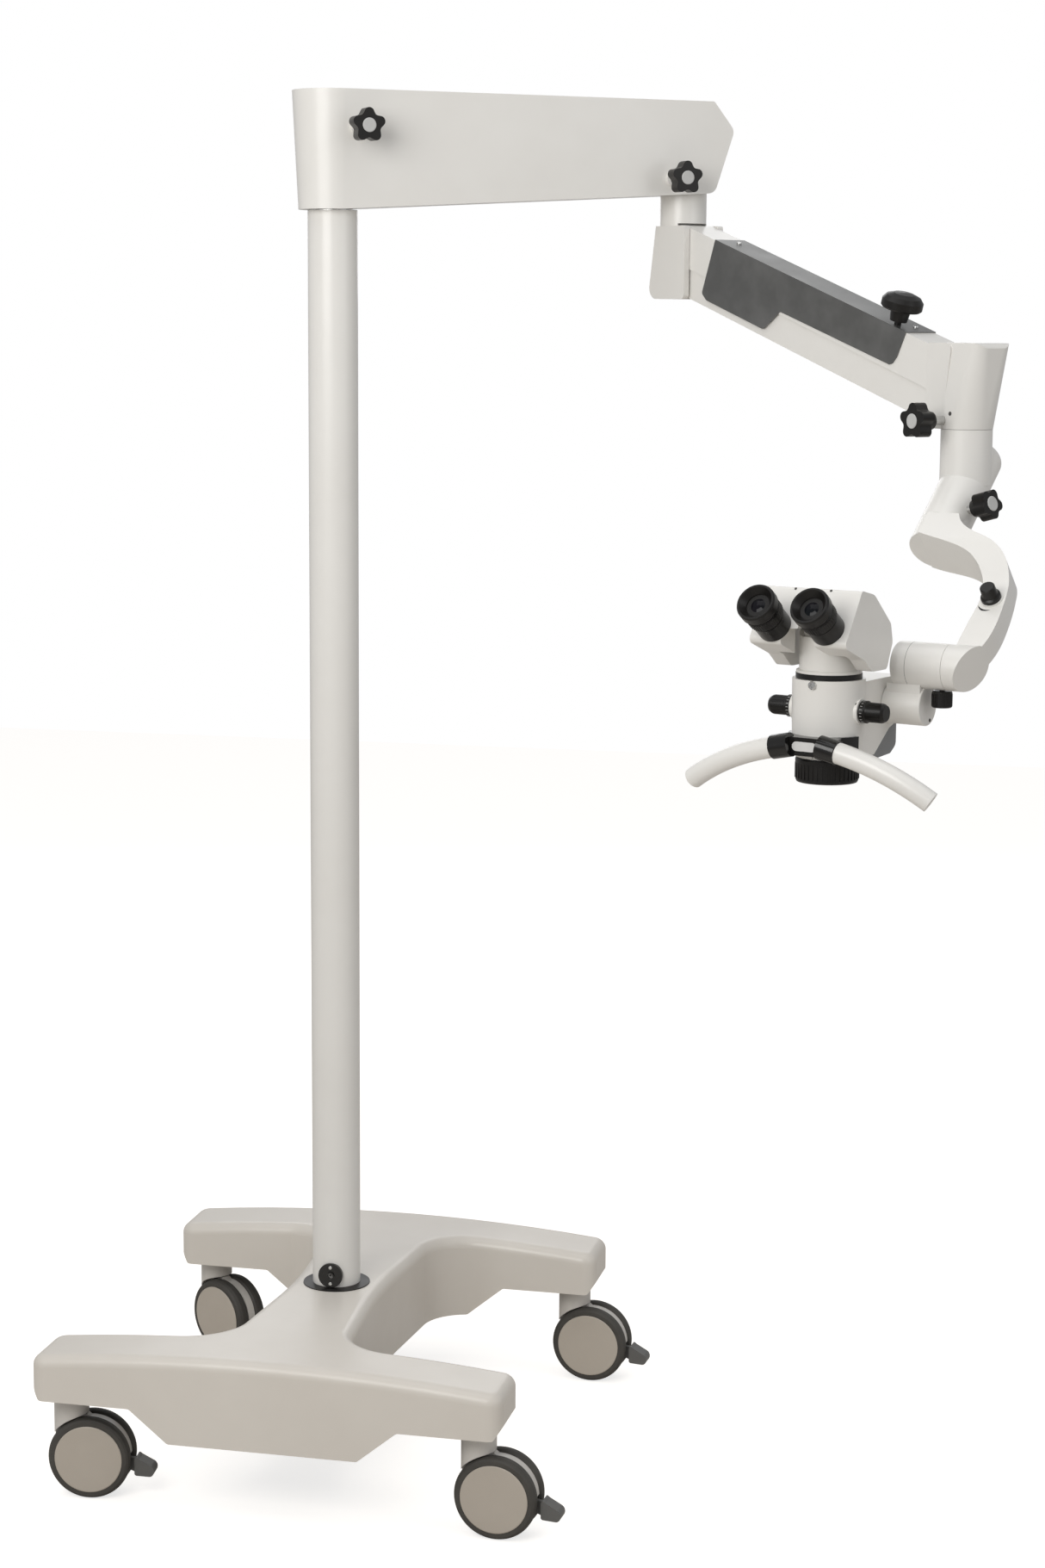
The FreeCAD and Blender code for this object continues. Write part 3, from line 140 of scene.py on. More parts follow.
def build_grain():
    inputs = [("Scale", "NodeSocketFloat", 900.0), ("Stretch", "NodeSocketVector", (1, 1, 1))]
    group, given, out = new_group("grain", inputs, [("Height", "NodeSocketFloat")])
    link = group.links.new
    place = group.nodes.new("ShaderNodeTexCoord")
    stretch = group.nodes.new("ShaderNodeVectorMath")
    stretch.operation = "MULTIPLY"
    link(place.outputs["Object"], stretch.inputs[0])
    link(given.outputs["Stretch"], stretch.inputs[1])
    noise = group.nodes.new("ShaderNodeTexNoise")
    noise.inputs["Detail"].default_value = 2.0
    link(stretch.outputs[0], noise.inputs["Vector"])
    link(given.outputs["Scale"], noise.inputs["Scale"])
    link(noise.outputs["Fac"], out.inputs["Height"])
    return group


mottle = build_mottle()
grain = build_grain()
print("groups:", [group.name for group in bpy.data.node_groups])


# %% [markdown]
# A finish is one Principled shader fed by the two groups. What stays the same over the whole
# surface, such as metal or clear coat, is set on the shader's own sockets.

# %% One finish
def finish(name, color, shade, roughness, scale=6.0, amount=0.5, spread=0.08, grain_scale=900.0,
           grain_height=0.02, stretch=(1, 1, 1), **sockets):
    """Material with mottled colour and gloss and a fine grain; sockets are set on the shader."""
    material = bpy.data.materials.new(name)
    material.use_nodes = True
    tree = material.node_tree
    shader = tree.nodes["Principled BSDF"]
    tone = tree.nodes.new("ShaderNodeGroup")
    tone.node_tree = mottle
    tone.inputs["Color"].default_value = (*color, 1)
    tone.inputs["Shade"].default_value = (*shade, 1)
    tone.inputs["Scale"].default_value = scale
    tone.inputs["Amount"].default_value = amount
    tone.inputs["Roughness"].default_value = roughness
    tone.inputs["Roughness Spread"].default_value = spread
    texture = tree.nodes.new("ShaderNodeGroup")
    texture.node_tree = grain
    texture.inputs["Scale"].default_value = grain_scale
    texture.inputs["Stretch"].default_value = stretch
    bump = tree.nodes.new("ShaderNodeBump")
    bump.inputs["Strength"].default_value = grain_height
    bump.inputs["Distance"].default_value = 0.0005
    tree.links.new(tone.outputs["Color"], shader.inputs["Base Color"])
    tree.links.new(tone.outputs["Roughness"], shader.inputs["Roughness"])
    tree.links.new(texture.outputs["Height"], bump.inputs["Height"])
    tree.links.new(bump.outputs["Normal"], shader.inputs["Normal"])
    for socket, value in sockets.items():
        shader.inputs[socket.replace("_", " ").title().replace("Ior", "IOR")].default_value = value
    return material


# %% [markdown]
# The castings and tubes carry a warm off-white enamel with a soft gloss. The base cover is the same
# white moulded in plastic and less glossy; its colour is set darker and warmer than the enamel, partly
# the plastic's own warmer tone and partly painted shade for the cover's shaded sides. The black of the
# knobs is satin plastic, never pure black, and the sheet over the spring arm is painted a cloudy dark
# metallic grey.

# %% The finishes of this microscope
enamel = finish("white enamel", (0.80, 0.785, 0.75), (0.74, 0.72, 0.68), 0.3,
                scale=5, amount=0.5, grain_scale=700, grain_height=0.03, coat_weight=0.25,
                coat_roughness=0.2)
# The base cover's colour is partly painted shade: darker than the enamel so that its sides look shaded.
moulding_painted_shade = finish("white moulding", (0.71, 0.67, 0.61), (0.655, 0.61, 0.55), 0.28,
                  scale=4, amount=0.6, grain_scale=1100, grain_height=0.06)
caster_grey = finish("caster grey plastic", (0.64, 0.615, 0.575), (0.58, 0.55, 0.51), 0.34,
                     scale=14, amount=0.6, grain_scale=1300, grain_height=0.08)
disc_taupe = finish("wheel disc taupe", (0.50, 0.45, 0.385), (0.455, 0.405, 0.345), 0.45,
                    scale=9, amount=0.6, grain_scale=1500, grain_height=0.1)
tread = finish("grey tyre", (0.052, 0.048, 0.042), (0.085, 0.08, 0.07), 0.62,
               scale=30, amount=0.5, grain_scale=1600, grain_height=0.2)
pedal_grey = finish("pedal grey plastic", (0.13, 0.128, 0.122), (0.10, 0.1, 0.095), 0.45,
                    scale=20, amount=0.5, grain_scale=1500, grain_height=0.12)
satin_black = finish("black satin plastic", (0.007, 0.0062, 0.0055), (0.012, 0.011, 0.01), 0.3,
                     scale=25, amount=0.5, grain_scale=1500, grain_height=0.1, specular_ior_level=0.35)
gloss_black = finish("black gloss plastic", (0.007, 0.0065, 0.006), (0.012, 0.011, 0.01), 0.14,
                     scale=20, amount=0.5, grain_scale=800, grain_height=0.02)
anodised = finish("black anodised metal", (0.01, 0.0095, 0.009), (0.018, 0.017, 0.016), 0.26,
                  scale=20, amount=0.5, grain_scale=1800, grain_height=0.05, metallic=0.35)
sheet_grey = finish("dark sheet metal", (0.165, 0.165, 0.16), (0.25, 0.25, 0.245), 0.34,
                    scale=9, amount=0.9, spread=0.12, grain_scale=600, grain_height=0.06,
                    stretch=(1, 1, 4), metallic=0.75)
cap_grey = finish("light grey cap", (0.52, 0.52, 0.51), (0.46, 0.46, 0.45), 0.45,
                  scale=60, amount=0.5, grain_scale=2000, grain_height=0.08)
steel = finish("turned steel", (0.62, 0.62, 0.61), (0.5, 0.5, 0.49), 0.24,
               scale=40, amount=0.6, grain_scale=1500, grain_height=0.06, metallic=1.0)
chrome = finish("bright screw steel", (0.75, 0.75, 0.74), (0.65, 0.65, 0.64), 0.14,
                scale=60, amount=0.5, grain_scale=2000, grain_height=0.02, metallic=1.0)
bronze = finish("bush bronze", (0.5, 0.33, 0.16), (0.42, 0.27, 0.13), 0.35,
                scale=40, amount=0.5, grain_scale=1200, grain_height=0.05, metallic=1.0)
iron = finish("cast iron", (0.07, 0.068, 0.065), (0.11, 0.1, 0.095), 0.7,
              scale=20, amount=0.8, grain_scale=500, grain_height=0.5, metallic=0.3)
frame_black = finish("frame coating", (0.03, 0.03, 0.03), (0.05, 0.05, 0.05), 0.5,
                     scale=14, amount=0.5, grain_scale=900, grain_height=0.25)
lamp_grey = finish("lamp housing grey", (0.23, 0.235, 0.24), (0.19, 0.195, 0.2), 0.42,
                   scale=14, amount=0.5, grain_scale=1300, grain_height=0.1)
print_white = finish("printed white", (0.75, 0.75, 0.74), (0.68, 0.68, 0.67), 0.5,
                     scale=80, amount=0.5)
glass = finish("coated glass", (0.004, 0.006, 0.007), (0.008, 0.005, 0.009), 0.08,
               scale=30, amount=0.8, spread=0.02, grain_height=0.0, specular_ior_level=0.15)
silver_plate = finish("silver plate", (0.74, 0.735, 0.72), (0.68, 0.675, 0.66), 0.3,
                      scale=40, amount=0.5, grain_scale=1500, grain_height=0.04, metallic=0.2)
seam_shade = finish("joint shadow", (0.2, 0.195, 0.185), (0.24, 0.235, 0.225), 0.6,
                    scale=60, amount=0.5)
print(len(bpy.data.materials), "materials")


# %% [markdown]
# Every node of the solid model keeps its mesh and gets its finish. A node that holds pieces of
# different stuff, such as a tyre and its disc, gets one material slot for each, and its faces are
# sorted by where they lie around the joint that turns the node.

# %% Dress the nodes
def dress(material, *names):
    for name in names:
        mesh = nodes[name].data
        mesh.materials.clear()
        mesh.materials.append(material)


def dress_part(name, material, inside):
    """Faces whose centres pass the test take a second material."""
    mesh = nodes[name].data
    mesh.materials.append(material)
    index = len(mesh.materials) - 1
    count = 0
    for face in mesh.polygons:
        if inside(face.center):
            face.material_index = index
            count += 1
    print(name, "has", count, "faces in", material.name)


def near_axis(matrix, radius, low=-1.0, high=1.0):
    """Test for points within a radius of a local Z axis and between two heights."""
    back = matrix.inverted()

    def test(point):
        local = back @ point
        return math.hypot(local.x, local.y) < radius and low < local.z < high
    return test


CASTERS = ("fl", "fr", "br", "bl")
DISC_RADIUS = 40.9 * MM
CAP_RADIUS, CAP_DEPTH = 8.35 * MM, 3.5 * MM
STUD_RADIUS, STUD_DEPTH = 5.2 * MM, 15 * MM
CUP_RADIUS, CUP_LOW, CUP_HIGH = 22 * MM, 7.4 * MM, 30 * MM
EYE_LENS_RADIUS, EYE_LENS_LOW, EYE_LENS_HIGH = 8.1 * MM, 10 * MM, 20 * MM

# The base cover takes the moulding colour that carries painted shade.
dress(moulding_painted_shade, "base_cover")
dress(frame_black, "base_frame")
dress(iron, "ballast_blocks")
dress(steel, "caster_stems", "column_spindle", "rear_link_pins", "front_link_pins", "gas_spring")
dress(bronze, "beam_bushes")
dress(enamel, "column_tube", "beam_housing", "elbow_yoke", "upper_link", "lower_link", "front_head",
      "neck_hub", "c_arm", "carrier", "carrier_end_cap", "scope_body", "binocular_base",
      "binocular_bridge", "prism_housing_left", "prism_housing_right", "handle_left", "handle_right")
dress(gloss_black, "inlet_plate", "handle_band")
dress(sheet_grey, "saddle_cover")
dress(frame_black, "beam_top_cover")
dress(satin_black, "column_collar", "column_lock_knob", "elbow_lock_knob", "head_lock_knob",
      "tilt_lock_knob", "tension_knob", "brightness_knob", "pitch_lock_knob", "magnification_knobs",
      "focusing_ring", "diopter_ring_left", "diopter_ring_right")
dress(anodised, "magnification_drum", "eyepiece_left", "eyepiece_right", "dovetail_ring")
dress(lamp_grey, "lamp_housing")
dress(glass, "objective_lens")
for corner in CASTERS:
    dress(caster_grey, "caster_fork_" + corner)
    dress(tread, "caster_wheels_" + corner)
    dress(pedal_grey, "caster_pedal_" + corner)
    wheel = joint_frame("roll_" + corner)
    dress_part("caster_wheels_" + corner, disc_taupe, near_axis(wheel, DISC_RADIUS))
for knob in ("column_knob_turn", "elbow_knob_turn", "head_knob_turn", "tilt_knob_turn"):
    node = knob.replace("_knob_turn", "_lock_knob")
    place = joint_frame(knob)
    top = max((place.inverted() @ v.co).z for v in nodes[node].data.vertices)
    dress_part(node, cap_grey, near_axis(place, CAP_RADIUS, top - CAP_DEPTH, top + MM))
    dress_part(node, steel, near_axis(place, STUD_RADIUS, -1, top - STUD_DEPTH))
for side in ("left", "right"):
    eye = joint_frame("diopter_turn_" + side)
    dress_part("eyepiece_" + side, satin_black, near_axis(eye, CUP_RADIUS, CUP_LOW, CUP_HIGH))
    dress_part("eyepiece_" + side, glass, near_axis(eye, EYE_LENS_RADIUS, EYE_LENS_LOW, EYE_LENS_HIGH))
print("dressed", len(nodes), "nodes")


# %% [markdown]
# Ribs, knurls and scale lines all stand in a ring around an axis. One Geometry Nodes tree makes
# them: a mesh circle gives the places, a small block is the rib, and each block is turned to face
# outwards. Realize Instances turns them into one mesh.

# %% A ring of ribs
def build_rib_ring():
    tree = bpy.data.node_groups.new("rib ring", "GeometryNodeTree")
    face = tree.interface
    face.new_socket("Geometry", in_out="OUTPUT", socket_type="NodeSocketGeometry")
    face.new_socket("Count", in_out="INPUT", socket_type="NodeSocketInt")
    face.new_socket("Radius", in_out="INPUT", socket_type="NodeSocketFloat")
    face.new_socket("Rib Size", in_out="INPUT", socket_type="NodeSocketVector")
    face.new_socket("Material", in_out="INPUT", socket_type="NodeSocketMaterial")
    link = tree.links.new
    given = tree.nodes.new("NodeGroupInput")
    out = tree.nodes.new("NodeGroupOutput")
    circle = tree.nodes.new("GeometryNodeMeshCircle")
    link(given.outputs["Count"], circle.inputs["Vertices"])
    link(given.outputs["Radius"], circle.inputs["Radius"])
    rib = tree.nodes.new("GeometryNodeMeshCube")
    link(given.outputs["Rib Size"], rib.inputs["Size"])
    position = tree.nodes.new("GeometryNodeInputPosition")
    outward = tree.nodes.new("FunctionNodeAlignRotationToVector")
    outward.axis = "X"
    outward.pivot_axis = "Z"
    link(position.outputs["Position"], outward.inputs["Vector"])
    spread = tree.nodes.new("GeometryNodeInstanceOnPoints")
    link(circle.outputs["Mesh"], spread.inputs["Points"])
    link(rib.outputs["Mesh"], spread.inputs["Instance"])
    link(outward.outputs["Rotation"], spread.inputs["Rotation"])
    real = tree.nodes.new("GeometryNodeRealizeInstances")
    link(spread.outputs["Instances"], real.inputs["Geometry"])
    paint = tree.nodes.new("GeometryNodeSetMaterial")
    link(real.outputs["Geometry"], paint.inputs["Geometry"])
    link(given.outputs["Material"], paint.inputs["Material"])
    link(paint.outputs["Geometry"], out.inputs["Geometry"])
    return tree


rib_ring = build_rib_ring()
print("rib ring has", len(rib_ring.nodes), "nodes")


# %% [markdown]
# A tree's result is taken over as a plain mesh, so that no modifier is left on the finished piece.
# The piece's place goes into its mesh, its object stays at the origin and rides on the body that
# moves it.

# %% From a tree to a finished piece
def settle(name, mesh, body, matrix=Matrix.Identity(4)):
    """A finished piece: its place in its mesh, its object at the origin, riding on its body."""
    mesh.transform(matrix)
    mesh.name = name
    piece = bpy.data.objects.new(name, mesh)
    bpy.context.scene.collection.objects.link(piece)
    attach(piece, body)
    return piece


def grow(name, mesh, tree, values):
    """Plain mesh that a Geometry Nodes tree makes from a mesh, with its inputs set by name."""
    carrier = bpy.data.objects.new(name + " maker", mesh)
    bpy.context.scene.collection.objects.link(carrier)
    modifier = carrier.modifiers.new("maker", "NODES")
    modifier.node_group = tree
    for item in tree.interface.items_tree:
        if item.in_out == "INPUT" and item.name in values:
            modifier[item.identifier] = values[item.name]
    bpy.context.view_layer.update()
    graph = bpy.context.evaluated_depsgraph_get()
    grown = bpy.data.meshes.new_from_object(carrier.evaluated_get(graph))
    bpy.data.objects.remove(carrier)
    if not grown.materials:
        grown.materials.append(values["Material"])
    print(name, len(grown.polygons), "faces")
    return grown


def ribs(name, matrix, count, radius, size, material, body):
    """Ring of ribs around the matrix's Z; size is depth, width and height of one rib."""
    values = {"Count": count, "Radius": radius * MM, "Rib Size": [value * MM for value in size],
              "Material": material}
    return settle(name, grow(name, bpy.data.meshes.new(name), rib_ring, values), body, matrix)


def up_axis(matrix, height):
    """The same local frame, moved up its Z by a height in mm."""
    return matrix @ Matrix.Translation((0, 0, height * MM))


# %% [markdown]
# The parts that fingers turn are ribbed or knurled: the focusing ring, the two diopter rings, the
# magnification knobs and the pitch lock. Each ring rides on the body that turns it, and the ribs
# stand a few tenths of a millimetre proud of the turned solid.

# %% Ribs and knurls
GRIP_OUT, SCALE_OUT = 57, 44

focus = up_axis(joint_frame("focus_turn", ACROSS), -2)
ribs("focus_ribs", focus, 40, 33.8, (1.2, 2.2, 16), satin_black, "focus")
for side in ("left", "right"):
    eye = joint_frame("diopter_turn_" + side)
    ribs("diopter_ribs_" + side, eye, 44, 19.6, (0.9, 1.3, 10.5), satin_black, "diopter_" + side)
drum = joint_frame("magnification_turn")
for side, sign in (("left", -1), ("right", 1)):
    ribs("magnification_ribs_" + side, up_axis(drum, GRIP_OUT * sign), 26, 10.25, (0.7, 1.1, 15),
         satin_black, "magnification")
    ribs("magnification_scale_" + side, up_axis(drum, SCALE_OUT * sign), 20, 12.0, (0.1, 0.35, 2.6),
         print_white, "magnification")
pitch_lock = joint_frame("pitch_knob_turn")
ribs("pitch_lock_ribs", pitch_lock, 28, 11, (0.5, 1.1, 13), satin_black, "pitch_knob")


# %% [markdown]
# Screws are all the same piece in different sizes: a low domed head with a cross recess. Rings of
# points are joined from the rim to the top, and the cross is sunk into the flat that is left.

# %% One screw head
def cross_head(radius, height):
    """Mesh of one screw head standing on z = 0 along +Z."""
    half, reach, depth, sides = radius * 0.14, radius * 0.5, height * 0.6, 24
    cross = [(half, half), (half, reach), (-half, reach), (-half, half),
             (-reach, half), (-reach, -half), (-half, -half), (-half, -reach),
             (half, -reach), (half, -half), (reach, -half), (reach, half)]
    bm = bmesh.new()

    def ring(reach_out, level):
        turns = [2 * math.pi * i / sides for i in range(sides)]
        return [bm.verts.new((reach_out * math.cos(t), reach_out * math.sin(t), level)) for t in turns]

    def wall(low, high):
        for i in range(len(low)):
            bm.faces.new((low[i - 1], low[i], high[i], high[i - 1]))

    rings = [ring(radius, -0.2 * height), ring(radius, 0.45 * height), ring(radius * 0.93, 0.8 * height),
             ring(radius * 0.74, height)]
    for low, high in zip(rings, rings[1:]):
        wall(low, high)
    bm.faces.new(list(reversed(rings[0])))
    lip = [bm.verts.new((x, y, height)) for x, y in cross]
    floor = [bm.verts.new((x, y, height - depth)) for x, y in cross]
    wall(lip, floor)
    bm.faces.new(floor)
    edges = [bm.edges.get((lip[i - 1], lip[i])) for i in range(len(lip))]
    edges += [bm.edges.get((rings[-1][i - 1], rings[-1][i])) for i in range(sides)]
    bmesh.ops.triangle_fill(bm, edges=edges, use_beauty=True)
    bmesh.ops.recalc_face_normals(bm, faces=bm.faces)
    mesh = bpy.data.meshes.new("cross head")
    bm.to_mesh(mesh)
    bm.free()
    return mesh


# %% [markdown]
# A second tree sets a copy of the head on each point of a small mesh and turns it to the direction
# stored with that point.

# %% Seating a piece on points
def build_seated():
    tree = bpy.data.node_groups.new("seated on points", "GeometryNodeTree")
    face = tree.interface
    face.new_socket("Geometry", in_out="OUTPUT", socket_type="NodeSocketGeometry")
    face.new_socket("Points", in_out="INPUT", socket_type="NodeSocketGeometry")
    face.new_socket("Piece", in_out="INPUT", socket_type="NodeSocketObject")
    face.new_socket("Material", in_out="INPUT", socket_type="NodeSocketMaterial")
    join = tree.links.new
    given = tree.nodes.new("NodeGroupInput")
    out = tree.nodes.new("NodeGroupOutput")
    piece = tree.nodes.new("GeometryNodeObjectInfo")
    join(given.outputs["Piece"], piece.inputs["Object"])
    facing = tree.nodes.new("GeometryNodeInputNamedAttribute")
    facing.data_type = "FLOAT_VECTOR"
    facing.inputs["Name"].default_value = "facing"
    turn = tree.nodes.new("FunctionNodeAlignRotationToVector")
    turn.axis = "Z"
    join(facing.outputs["Attribute"], turn.inputs["Vector"])
    spread = tree.nodes.new("GeometryNodeInstanceOnPoints")
    join(given.outputs["Points"], spread.inputs["Points"])
    join(piece.outputs["Geometry"], spread.inputs["Instance"])
    join(turn.outputs["Rotation"], spread.inputs["Rotation"])
    real = tree.nodes.new("GeometryNodeRealizeInstances")
    join(spread.outputs["Instances"], real.inputs["Geometry"])
    paint = tree.nodes.new("GeometryNodeSetMaterial")
    join(real.outputs["Geometry"], paint.inputs["Geometry"])
    join(given.outputs["Material"], paint.inputs["Material"])
    join(paint.outputs["Geometry"], out.inputs["Geometry"])
    return tree


seated = build_seated()
print("seated on points has", len(seated.nodes), "nodes")


# %% [markdown]
# The points come from the solid model itself. A ray is sent against a node, so each head sits on the
# real surface and looks along its normal, whatever the shape under it.

# %% Places on the solids
def on_surface(node, matrix, start, towards):
    """Point and outward normal where a line first meets a node; both given in mm in a local frame."""
    mesh = nodes[node].data
    points = [vertex.co for vertex in mesh.vertices]
    tree = BVHTree.FromPolygons(points, [tuple(face.vertices) for face in mesh.polygons])
    direction = (matrix.to_3x3() @ Vector(towards)).normalized()
    point, normal, _, _ = tree.ray_cast(matrix @ (Vector(start) * MM), direction)
    if normal.dot(direction) > 0:
        normal = -normal
    return point, normal


def screws(name, places, radius, height, material, body):
    """Cross-head screws on a list of (point, normal) places."""
    mesh = bpy.data.meshes.new(name)
    mesh.from_pydata([point for point, _ in places], [], [])
    facing = mesh.attributes.new("facing", "FLOAT_VECTOR", "POINT")
    for i, (_, normal) in enumerate(places):
        facing.data[i].vector = normal
    head = bpy.data.objects.new("one head", cross_head(radius * MM, height * MM))
    bpy.context.scene.collection.objects.link(head)
    grown = grow(name, mesh, seated, {"Piece": head, "Material": material})
    bpy.data.objects.remove(head)
    return settle(name, grown, body)


# %% [markdown]
# The photograph shows where the screws are: two in the power inlet, two bright ones in the sheet over
# the arm, the long one that holds the binocular, and small dark set screws in the front head, the
# carrier's end and the two prism housings.

# %% The screws of this stand
INLET_HEIGHT = 0.214
INLET_TURN = math.radians(2.7)
INLET_SCREW_RISE = 10.5
COVER_SCREWS = ((81.4, 1.8), (419, 6.3))
HEAD_SCREW = (12, 8, 80)
BINOCULAR_SCREW = (1.3, -80, 79.5)
CARRIER_SCREW = (120, 78.3, 36.1)
PRISM_SCREW_ASIDE = 21

beam_height = joints["beam_swing"]["pos_m"][2]
inlet = joint_frame("beam_swing", along=INLET_HEIGHT - beam_height) @ Matrix.Rotation(INLET_TURN, 4, "Z")
inlet_places = [on_surface("inlet_plate", inlet, (0, -60, rise), (0, 1, 0))
                for rise in (-INLET_SCREW_RISE, INLET_SCREW_RISE)]
screws("inlet_screws", inlet_places, 2.3, 0.9, steel, "stand")
cover_places = [on_surface("saddle_cover", arm, (along, 60, -aside), (0, -1, 0))
                for along, aside in COVER_SCREWS]
screws("cover_screws", cover_places, 3.0, 2.0, chrome, "upper_arm")
lock_place = on_surface("scope_body", scope, BINOCULAR_SCREW, (0, 1, 0))
screws("binocular_lock_screw", [lock_place], 4.6, 3.0, chrome, "scope")
head_place = on_surface("front_head", joint_frame("head_knob_turn"), HEAD_SCREW, (0, 0, -1))
screws("head_set_screw", [head_place], 2.4, 0.5, iron, "front_head")
end_place = on_surface("carrier", scope, CARRIER_SCREW, (-1, 0, 0))
screws("carrier_end_screw", [end_place], 2.0, 0.5, iron, "carrier")
for side, sign in (("left", -1), ("right", 1)):
    start = (PRISM_SCREW_ASIDE * sign, -39, 260)
    prism_place = on_surface("prism_housing_" + side, scope, start, (0, 0, -1))
    screws("prism_screw_" + side, [prism_place], 1.5, 0.5, iron, "prism_" + side)


# %% [markdown]
# Marks and plates are flat pieces cut from an outline. The outline is drawn in a local frame that
# lies on the surface, and the piece is sunk a little into the paint so that no gap can show.

# %% Flat pieces from outlines
def raised_outline(name, points, low, high, material, body, matrix):
    """Prism from an (x, y) outline in mm, between two heights of a local frame."""
    bm = bmesh.new()
    bottom = [bm.verts.new((x * MM, y * MM, low * MM)) for x, y in points]
    top = [bm.verts.new((x * MM, y * MM, high * MM)) for x, y in points]
    bm.faces.new(bottom)
    bm.faces.new(top)
    for i in range(len(points)):
        bm.faces.new((bottom[i - 1], bottom[i], top[i], top[i - 1]))
    bmesh.ops.recalc_face_normals(bm, faces=bm.faces)
    mesh = bpy.data.meshes.new(name)
    bm.to_mesh(mesh)
    bm.free()
    mesh.materials.append(material)
    return settle(name, mesh, body, matrix)


def pill(length, width, steps=8):
    """Outline of a plate with two round ends."""
    reach = (length - width) / 2
    points = []
    for sign, start in ((1, -90), (-1, 90)):
        for i in range(steps + 1):
            angle = math.radians(start + 180 * i / steps)
            points.append((sign * reach + width / 2 * math.cos(angle), width / 2 * math.sin(angle)))
    return points


def crescent(radius, width, half_angle, steps=16):
    """Arc that is widest in the middle and comes to a point at both ends."""
    outer, inner = [], []
    for i in range(steps + 1):
        share = i / steps
        angle = math.radians(half_angle * (2 * share - 1))
        thick = width * math.sin(math.pi * share)
        outer.append(((radius + thick) * math.cos(angle), (radius + thick) * math.sin(angle)))
        inner.append((radius * math.cos(angle), radius * math.sin(angle)))
    return outer + inner[-2:0:-1]


def on_face(place, side):
    """Local frame on a (point, normal) place."""
    return local_frame(place[0], place[1], side)


# %% [markdown]
# The marks are the index on the body and on its lower rim and the plate on the handle band. A dark
# crescent just below the brightness knob is a painted shadow of that knob on the C-arm. The plate
# carries a word in the photograph and is bare here.

# %% The marks of this microscope and the knob's painted shadow
SUNK, PROUD = 0.2, 0.12
KNOB_SHADOW_TURN = math.radians(-18)
KNOB_SHADOW_RADIUS = 15.8
DIAL_SIDE = (15.5, 0, 40)
BODY_INDEX = (60, -17.5, 59.6)
RIM_INDEX = (1, -80, 2.5)
BADGE = (0, -90, 15.5)

index_place = on_surface("scope_body", scope, BODY_INDEX, (-0.8, 0.25, 0))
raised_outline("body_index", pill(2.6, 0.9), -SUNK, PROUD, satin_black, "scope",
               on_face(index_place, UP))
rim_place = on_surface("scope_body", scope, RIM_INDEX, (0, 1, 0))
raised_outline("rim_index", pill(3.4, 0.9), -SUNK, PROUD, satin_black, "scope",
               on_face(rim_place, UP))
badge_place = on_surface("handle_band", scope, BADGE, (0, 1, 0))
raised_outline("badge_plate", pill(29, 10), -1.6, 0.9, silver_plate, "scope",
               on_face(badge_place, ACROSS))
# Painted shadow: a dark crescent laid on the C-arm just below the brightness knob, where the knob's own
# shadow falls.
dial = joint_frame("brightness_turn", -UP) @ Matrix.Rotation(KNOB_SHADOW_TURN, 4, "Z")
arm_point, _ = on_surface("c_arm", dial, DIAL_SIDE, (0, 0, -1))
level = (dial.inverted() @ arm_point).z / MM
raised_outline("dial_crescent", crescent(KNOB_SHADOW_RADIUS, 2.2, 32), level - SUNK, level + PROUD,
               satin_black, "c_arm", dial)
print("the arm's face lies", round(level, 2), "mm along the dial's axis")


# %% [markdown]
# Where two painted pieces meet, the photograph shows a thin line of shadow. It is a narrow dark band
# laid round the barrel of the carrier, at the height where the end cap begins.

# %% The end cap's joint
def joint_line(name, matrix, along, radius, width, body, steps=72):
    """Thin dark band around a local Z, as the shadow in a joint between two pieces."""
    section = [(radius - 0.3, -width / 2), (radius + 0.04, -width / 2),
               (radius + 0.04, width / 2), (radius - 0.3, width / 2)]
    bm = bmesh.new()
    rows = []
    for i in range(steps):
        angle = 2 * math.pi * i / steps
        row = []
        for reach, rise in section:
            place = Vector((reach * math.cos(angle), reach * math.sin(angle), along + rise))
            row.append(bm.verts.new(place * MM))
        rows.append(row)
    for here, there in zip(rows, rows[1:] + rows[:1]):
        for k in range(4):
            bm.faces.new((here[k - 1], here[k], there[k], there[k - 1]))
    bmesh.ops.recalc_face_normals(bm, faces=bm.faces)
    mesh = bpy.data.meshes.new(name)
    bm.to_mesh(mesh)
    bm.free()
    mesh.materials.append(seam_shade)
    return settle(name, mesh, body, matrix)


CARRIER_RADIUS = 25.0
barrel = joint_frame("carrier_tilt", UP)
cap_top = max((barrel.inverted() @ vertex.co).z for vertex in nodes["carrier_end_cap"].data.vertices) / MM
print("the end cap's joint lies", round(cap_top, 2), "mm along the barrel's axis")
joint_line("end_cap_line", barrel, cap_top, CARRIER_RADIUS, 0.5, "carrier")


# %% [markdown]
# The surroundings are white, as in the photograph. The floor glows for the camera alone, so it looks
# white and keeps a faint shadow, and the world is white for the camera and dimmer for everything
# that it lights.

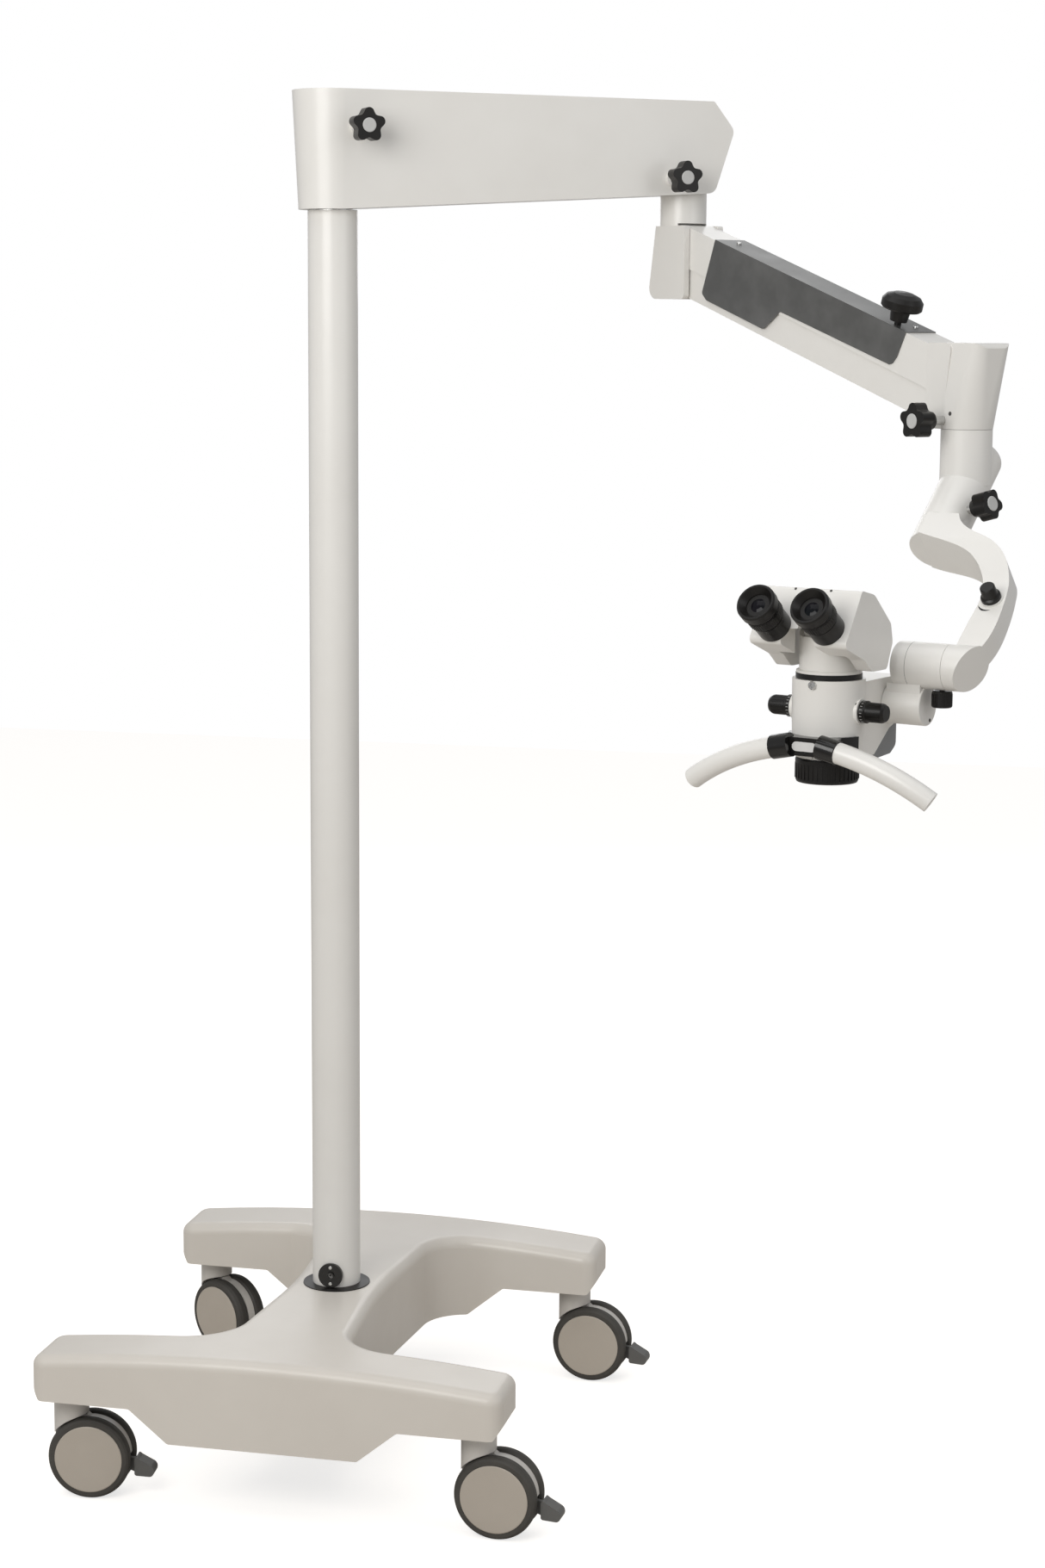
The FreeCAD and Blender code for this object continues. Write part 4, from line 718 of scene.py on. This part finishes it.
# %% Floor and world
def build_floor():
    mesh = bpy.data.meshes.new("floor")
    half = 6.0
    corners = [(-half, -half, 0), (half, -half, 0), (half, half, 0), (-half, half, 0)]
    mesh.from_pydata(corners, [], [(0, 1, 2, 3)])
    floor = bpy.data.objects.new("floor", mesh)
    bpy.context.scene.collection.objects.link(floor)
    material = bpy.data.materials.new("pale floor")
    material.use_nodes = True
    tree = material.node_tree
    shader = tree.nodes["Principled BSDF"]
    shader.inputs["Base Color"].default_value = (0.66, 0.62, 0.57, 1)
    shader.inputs["Roughness"].default_value = 0.9
    shader.inputs["Emission Color"].default_value = (1, 1, 1, 1)
    path = tree.nodes.new("ShaderNodeLightPath")
    glow = tree.nodes.new("ShaderNodeMath")
    glow.operation = "MULTIPLY"
    glow.inputs[1].default_value = 0.7
    tree.links.new(path.outputs["Is Camera Ray"], glow.inputs[0])
    tree.links.new(glow.outputs[0], shader.inputs["Emission Strength"])
    mesh.materials.append(material)


def build_world():
    world = bpy.data.worlds.new("studio")
    bpy.context.scene.world = world
    world.use_nodes = True
    tree = world.node_tree
    tree.nodes.clear()
    path = tree.nodes.new("ShaderNodeLightPath")
    seen = tree.nodes.new("ShaderNodeMath")
    seen.operation = "MAXIMUM"
    tree.links.new(path.outputs["Is Camera Ray"], seen.inputs[0])
    tree.links.new(path.outputs["Is Transmission Ray"], seen.inputs[1])
    soft = tree.nodes.new("ShaderNodeBackground")
    soft.inputs["Color"].default_value = (0.97, 0.98, 1.0, 1)
    soft.inputs["Strength"].default_value = 0.42
    white = tree.nodes.new("ShaderNodeBackground")
    white.inputs["Color"].default_value = (1, 1, 1, 1)
    mix = tree.nodes.new("ShaderNodeMixShader")
    out = tree.nodes.new("ShaderNodeOutputWorld")
    tree.links.new(seen.outputs[0], mix.inputs[0])
    tree.links.new(soft.outputs[0], mix.inputs[1])
    tree.links.new(white.outputs[0], mix.inputs[2])
    tree.links.new(mix.outputs[0], out.inputs["Surface"])


build_floor()
build_world()
print("floor and world are ready")


# %% [markdown]
# The light is soft: a big lamp from above, one from the front at the height of the microscope, a
# weak one from the right and a large one from behind for the far sides.

# %% Lamps
def lamp(name, place, aim, size, power, color=(1, 1, 1)):
    light = bpy.data.lights.new(name, "AREA")
    light.shape = "RECTANGLE"
    light.size, light.size_y = size
    light.energy = power
    light.color = color
    holder = bpy.data.objects.new(name, light)
    bpy.context.scene.collection.objects.link(holder)
    holder.location = place
    holder.rotation_euler = (Vector(aim) - Vector(place)).to_track_quat("-Z", "Y").to_euler()


lamp("overhead softbox", (0.1, -0.5, 4.6), (0.2, 0.0, 0.6), (4.0, 3.4), 40)
lamp("front softbox", (-0.4, -2.3, 2.1), (0.45, 0.0, 1.9), (1.6, 1.4), 36, (1, 0.99, 0.97))
lamp("right softbox", (3.0, -1.2, 2.3), (0.5, -0.1, 1.3), (1.2, 2.0), 9)
lamp("rear softbox", (-0.6, 3.4, 2.4), (0.3, 0.0, 1.1), (2.4, 2.0), 20)
scene = bpy.context.scene
scene.view_settings.view_transform = "Standard"
print(len(bpy.data.lights), "lamps")


# %% [markdown]
# The camera stands where the photographer stood: a long lens a little above the hub of the
# microscope, looking slightly down. Its turn, tilt and roll were worked out from the straight
# edges of the column, the base and the beam.

# %% Camera
CAMERA_PLACE = Vector((1.033, -3.482, 1.403))
CAMERA_TURN = math.radians(-12.87)
CAMERA_TILT = math.radians(8.91)
CAMERA_ROLL = math.radians(0.35)
LONG_SIDE_MM = 36.0
IMAGE_HEIGHT = 1821
FOCAL_PIXELS = 3456

level_part = math.cos(CAMERA_TILT)
forward = Vector((math.sin(CAMERA_TURN) * level_part, math.cos(CAMERA_TURN) * level_part,
                  -math.sin(CAMERA_TILT)))
right = forward.cross(UP).normalized()
above = right.cross(forward)
rolled_right = right * math.cos(CAMERA_ROLL) + above * math.sin(CAMERA_ROLL)
rolled_above = above * math.cos(CAMERA_ROLL) - right * math.sin(CAMERA_ROLL)
lens = bpy.data.cameras.new("camera")
lens.sensor_fit = "VERTICAL"
lens.sensor_height = LONG_SIDE_MM
lens.lens = FOCAL_PIXELS * LONG_SIDE_MM / IMAGE_HEIGHT
camera = bpy.data.objects.new("camera", lens)
scene.collection.objects.link(camera)
camera.matrix_world = Matrix.Translation(CAMERA_PLACE) @ Matrix(
    (rolled_right, rolled_above, -forward)).transposed().to_4x4()
scene.camera = camera
print("lens of", round(lens.lens, 1), "mm")
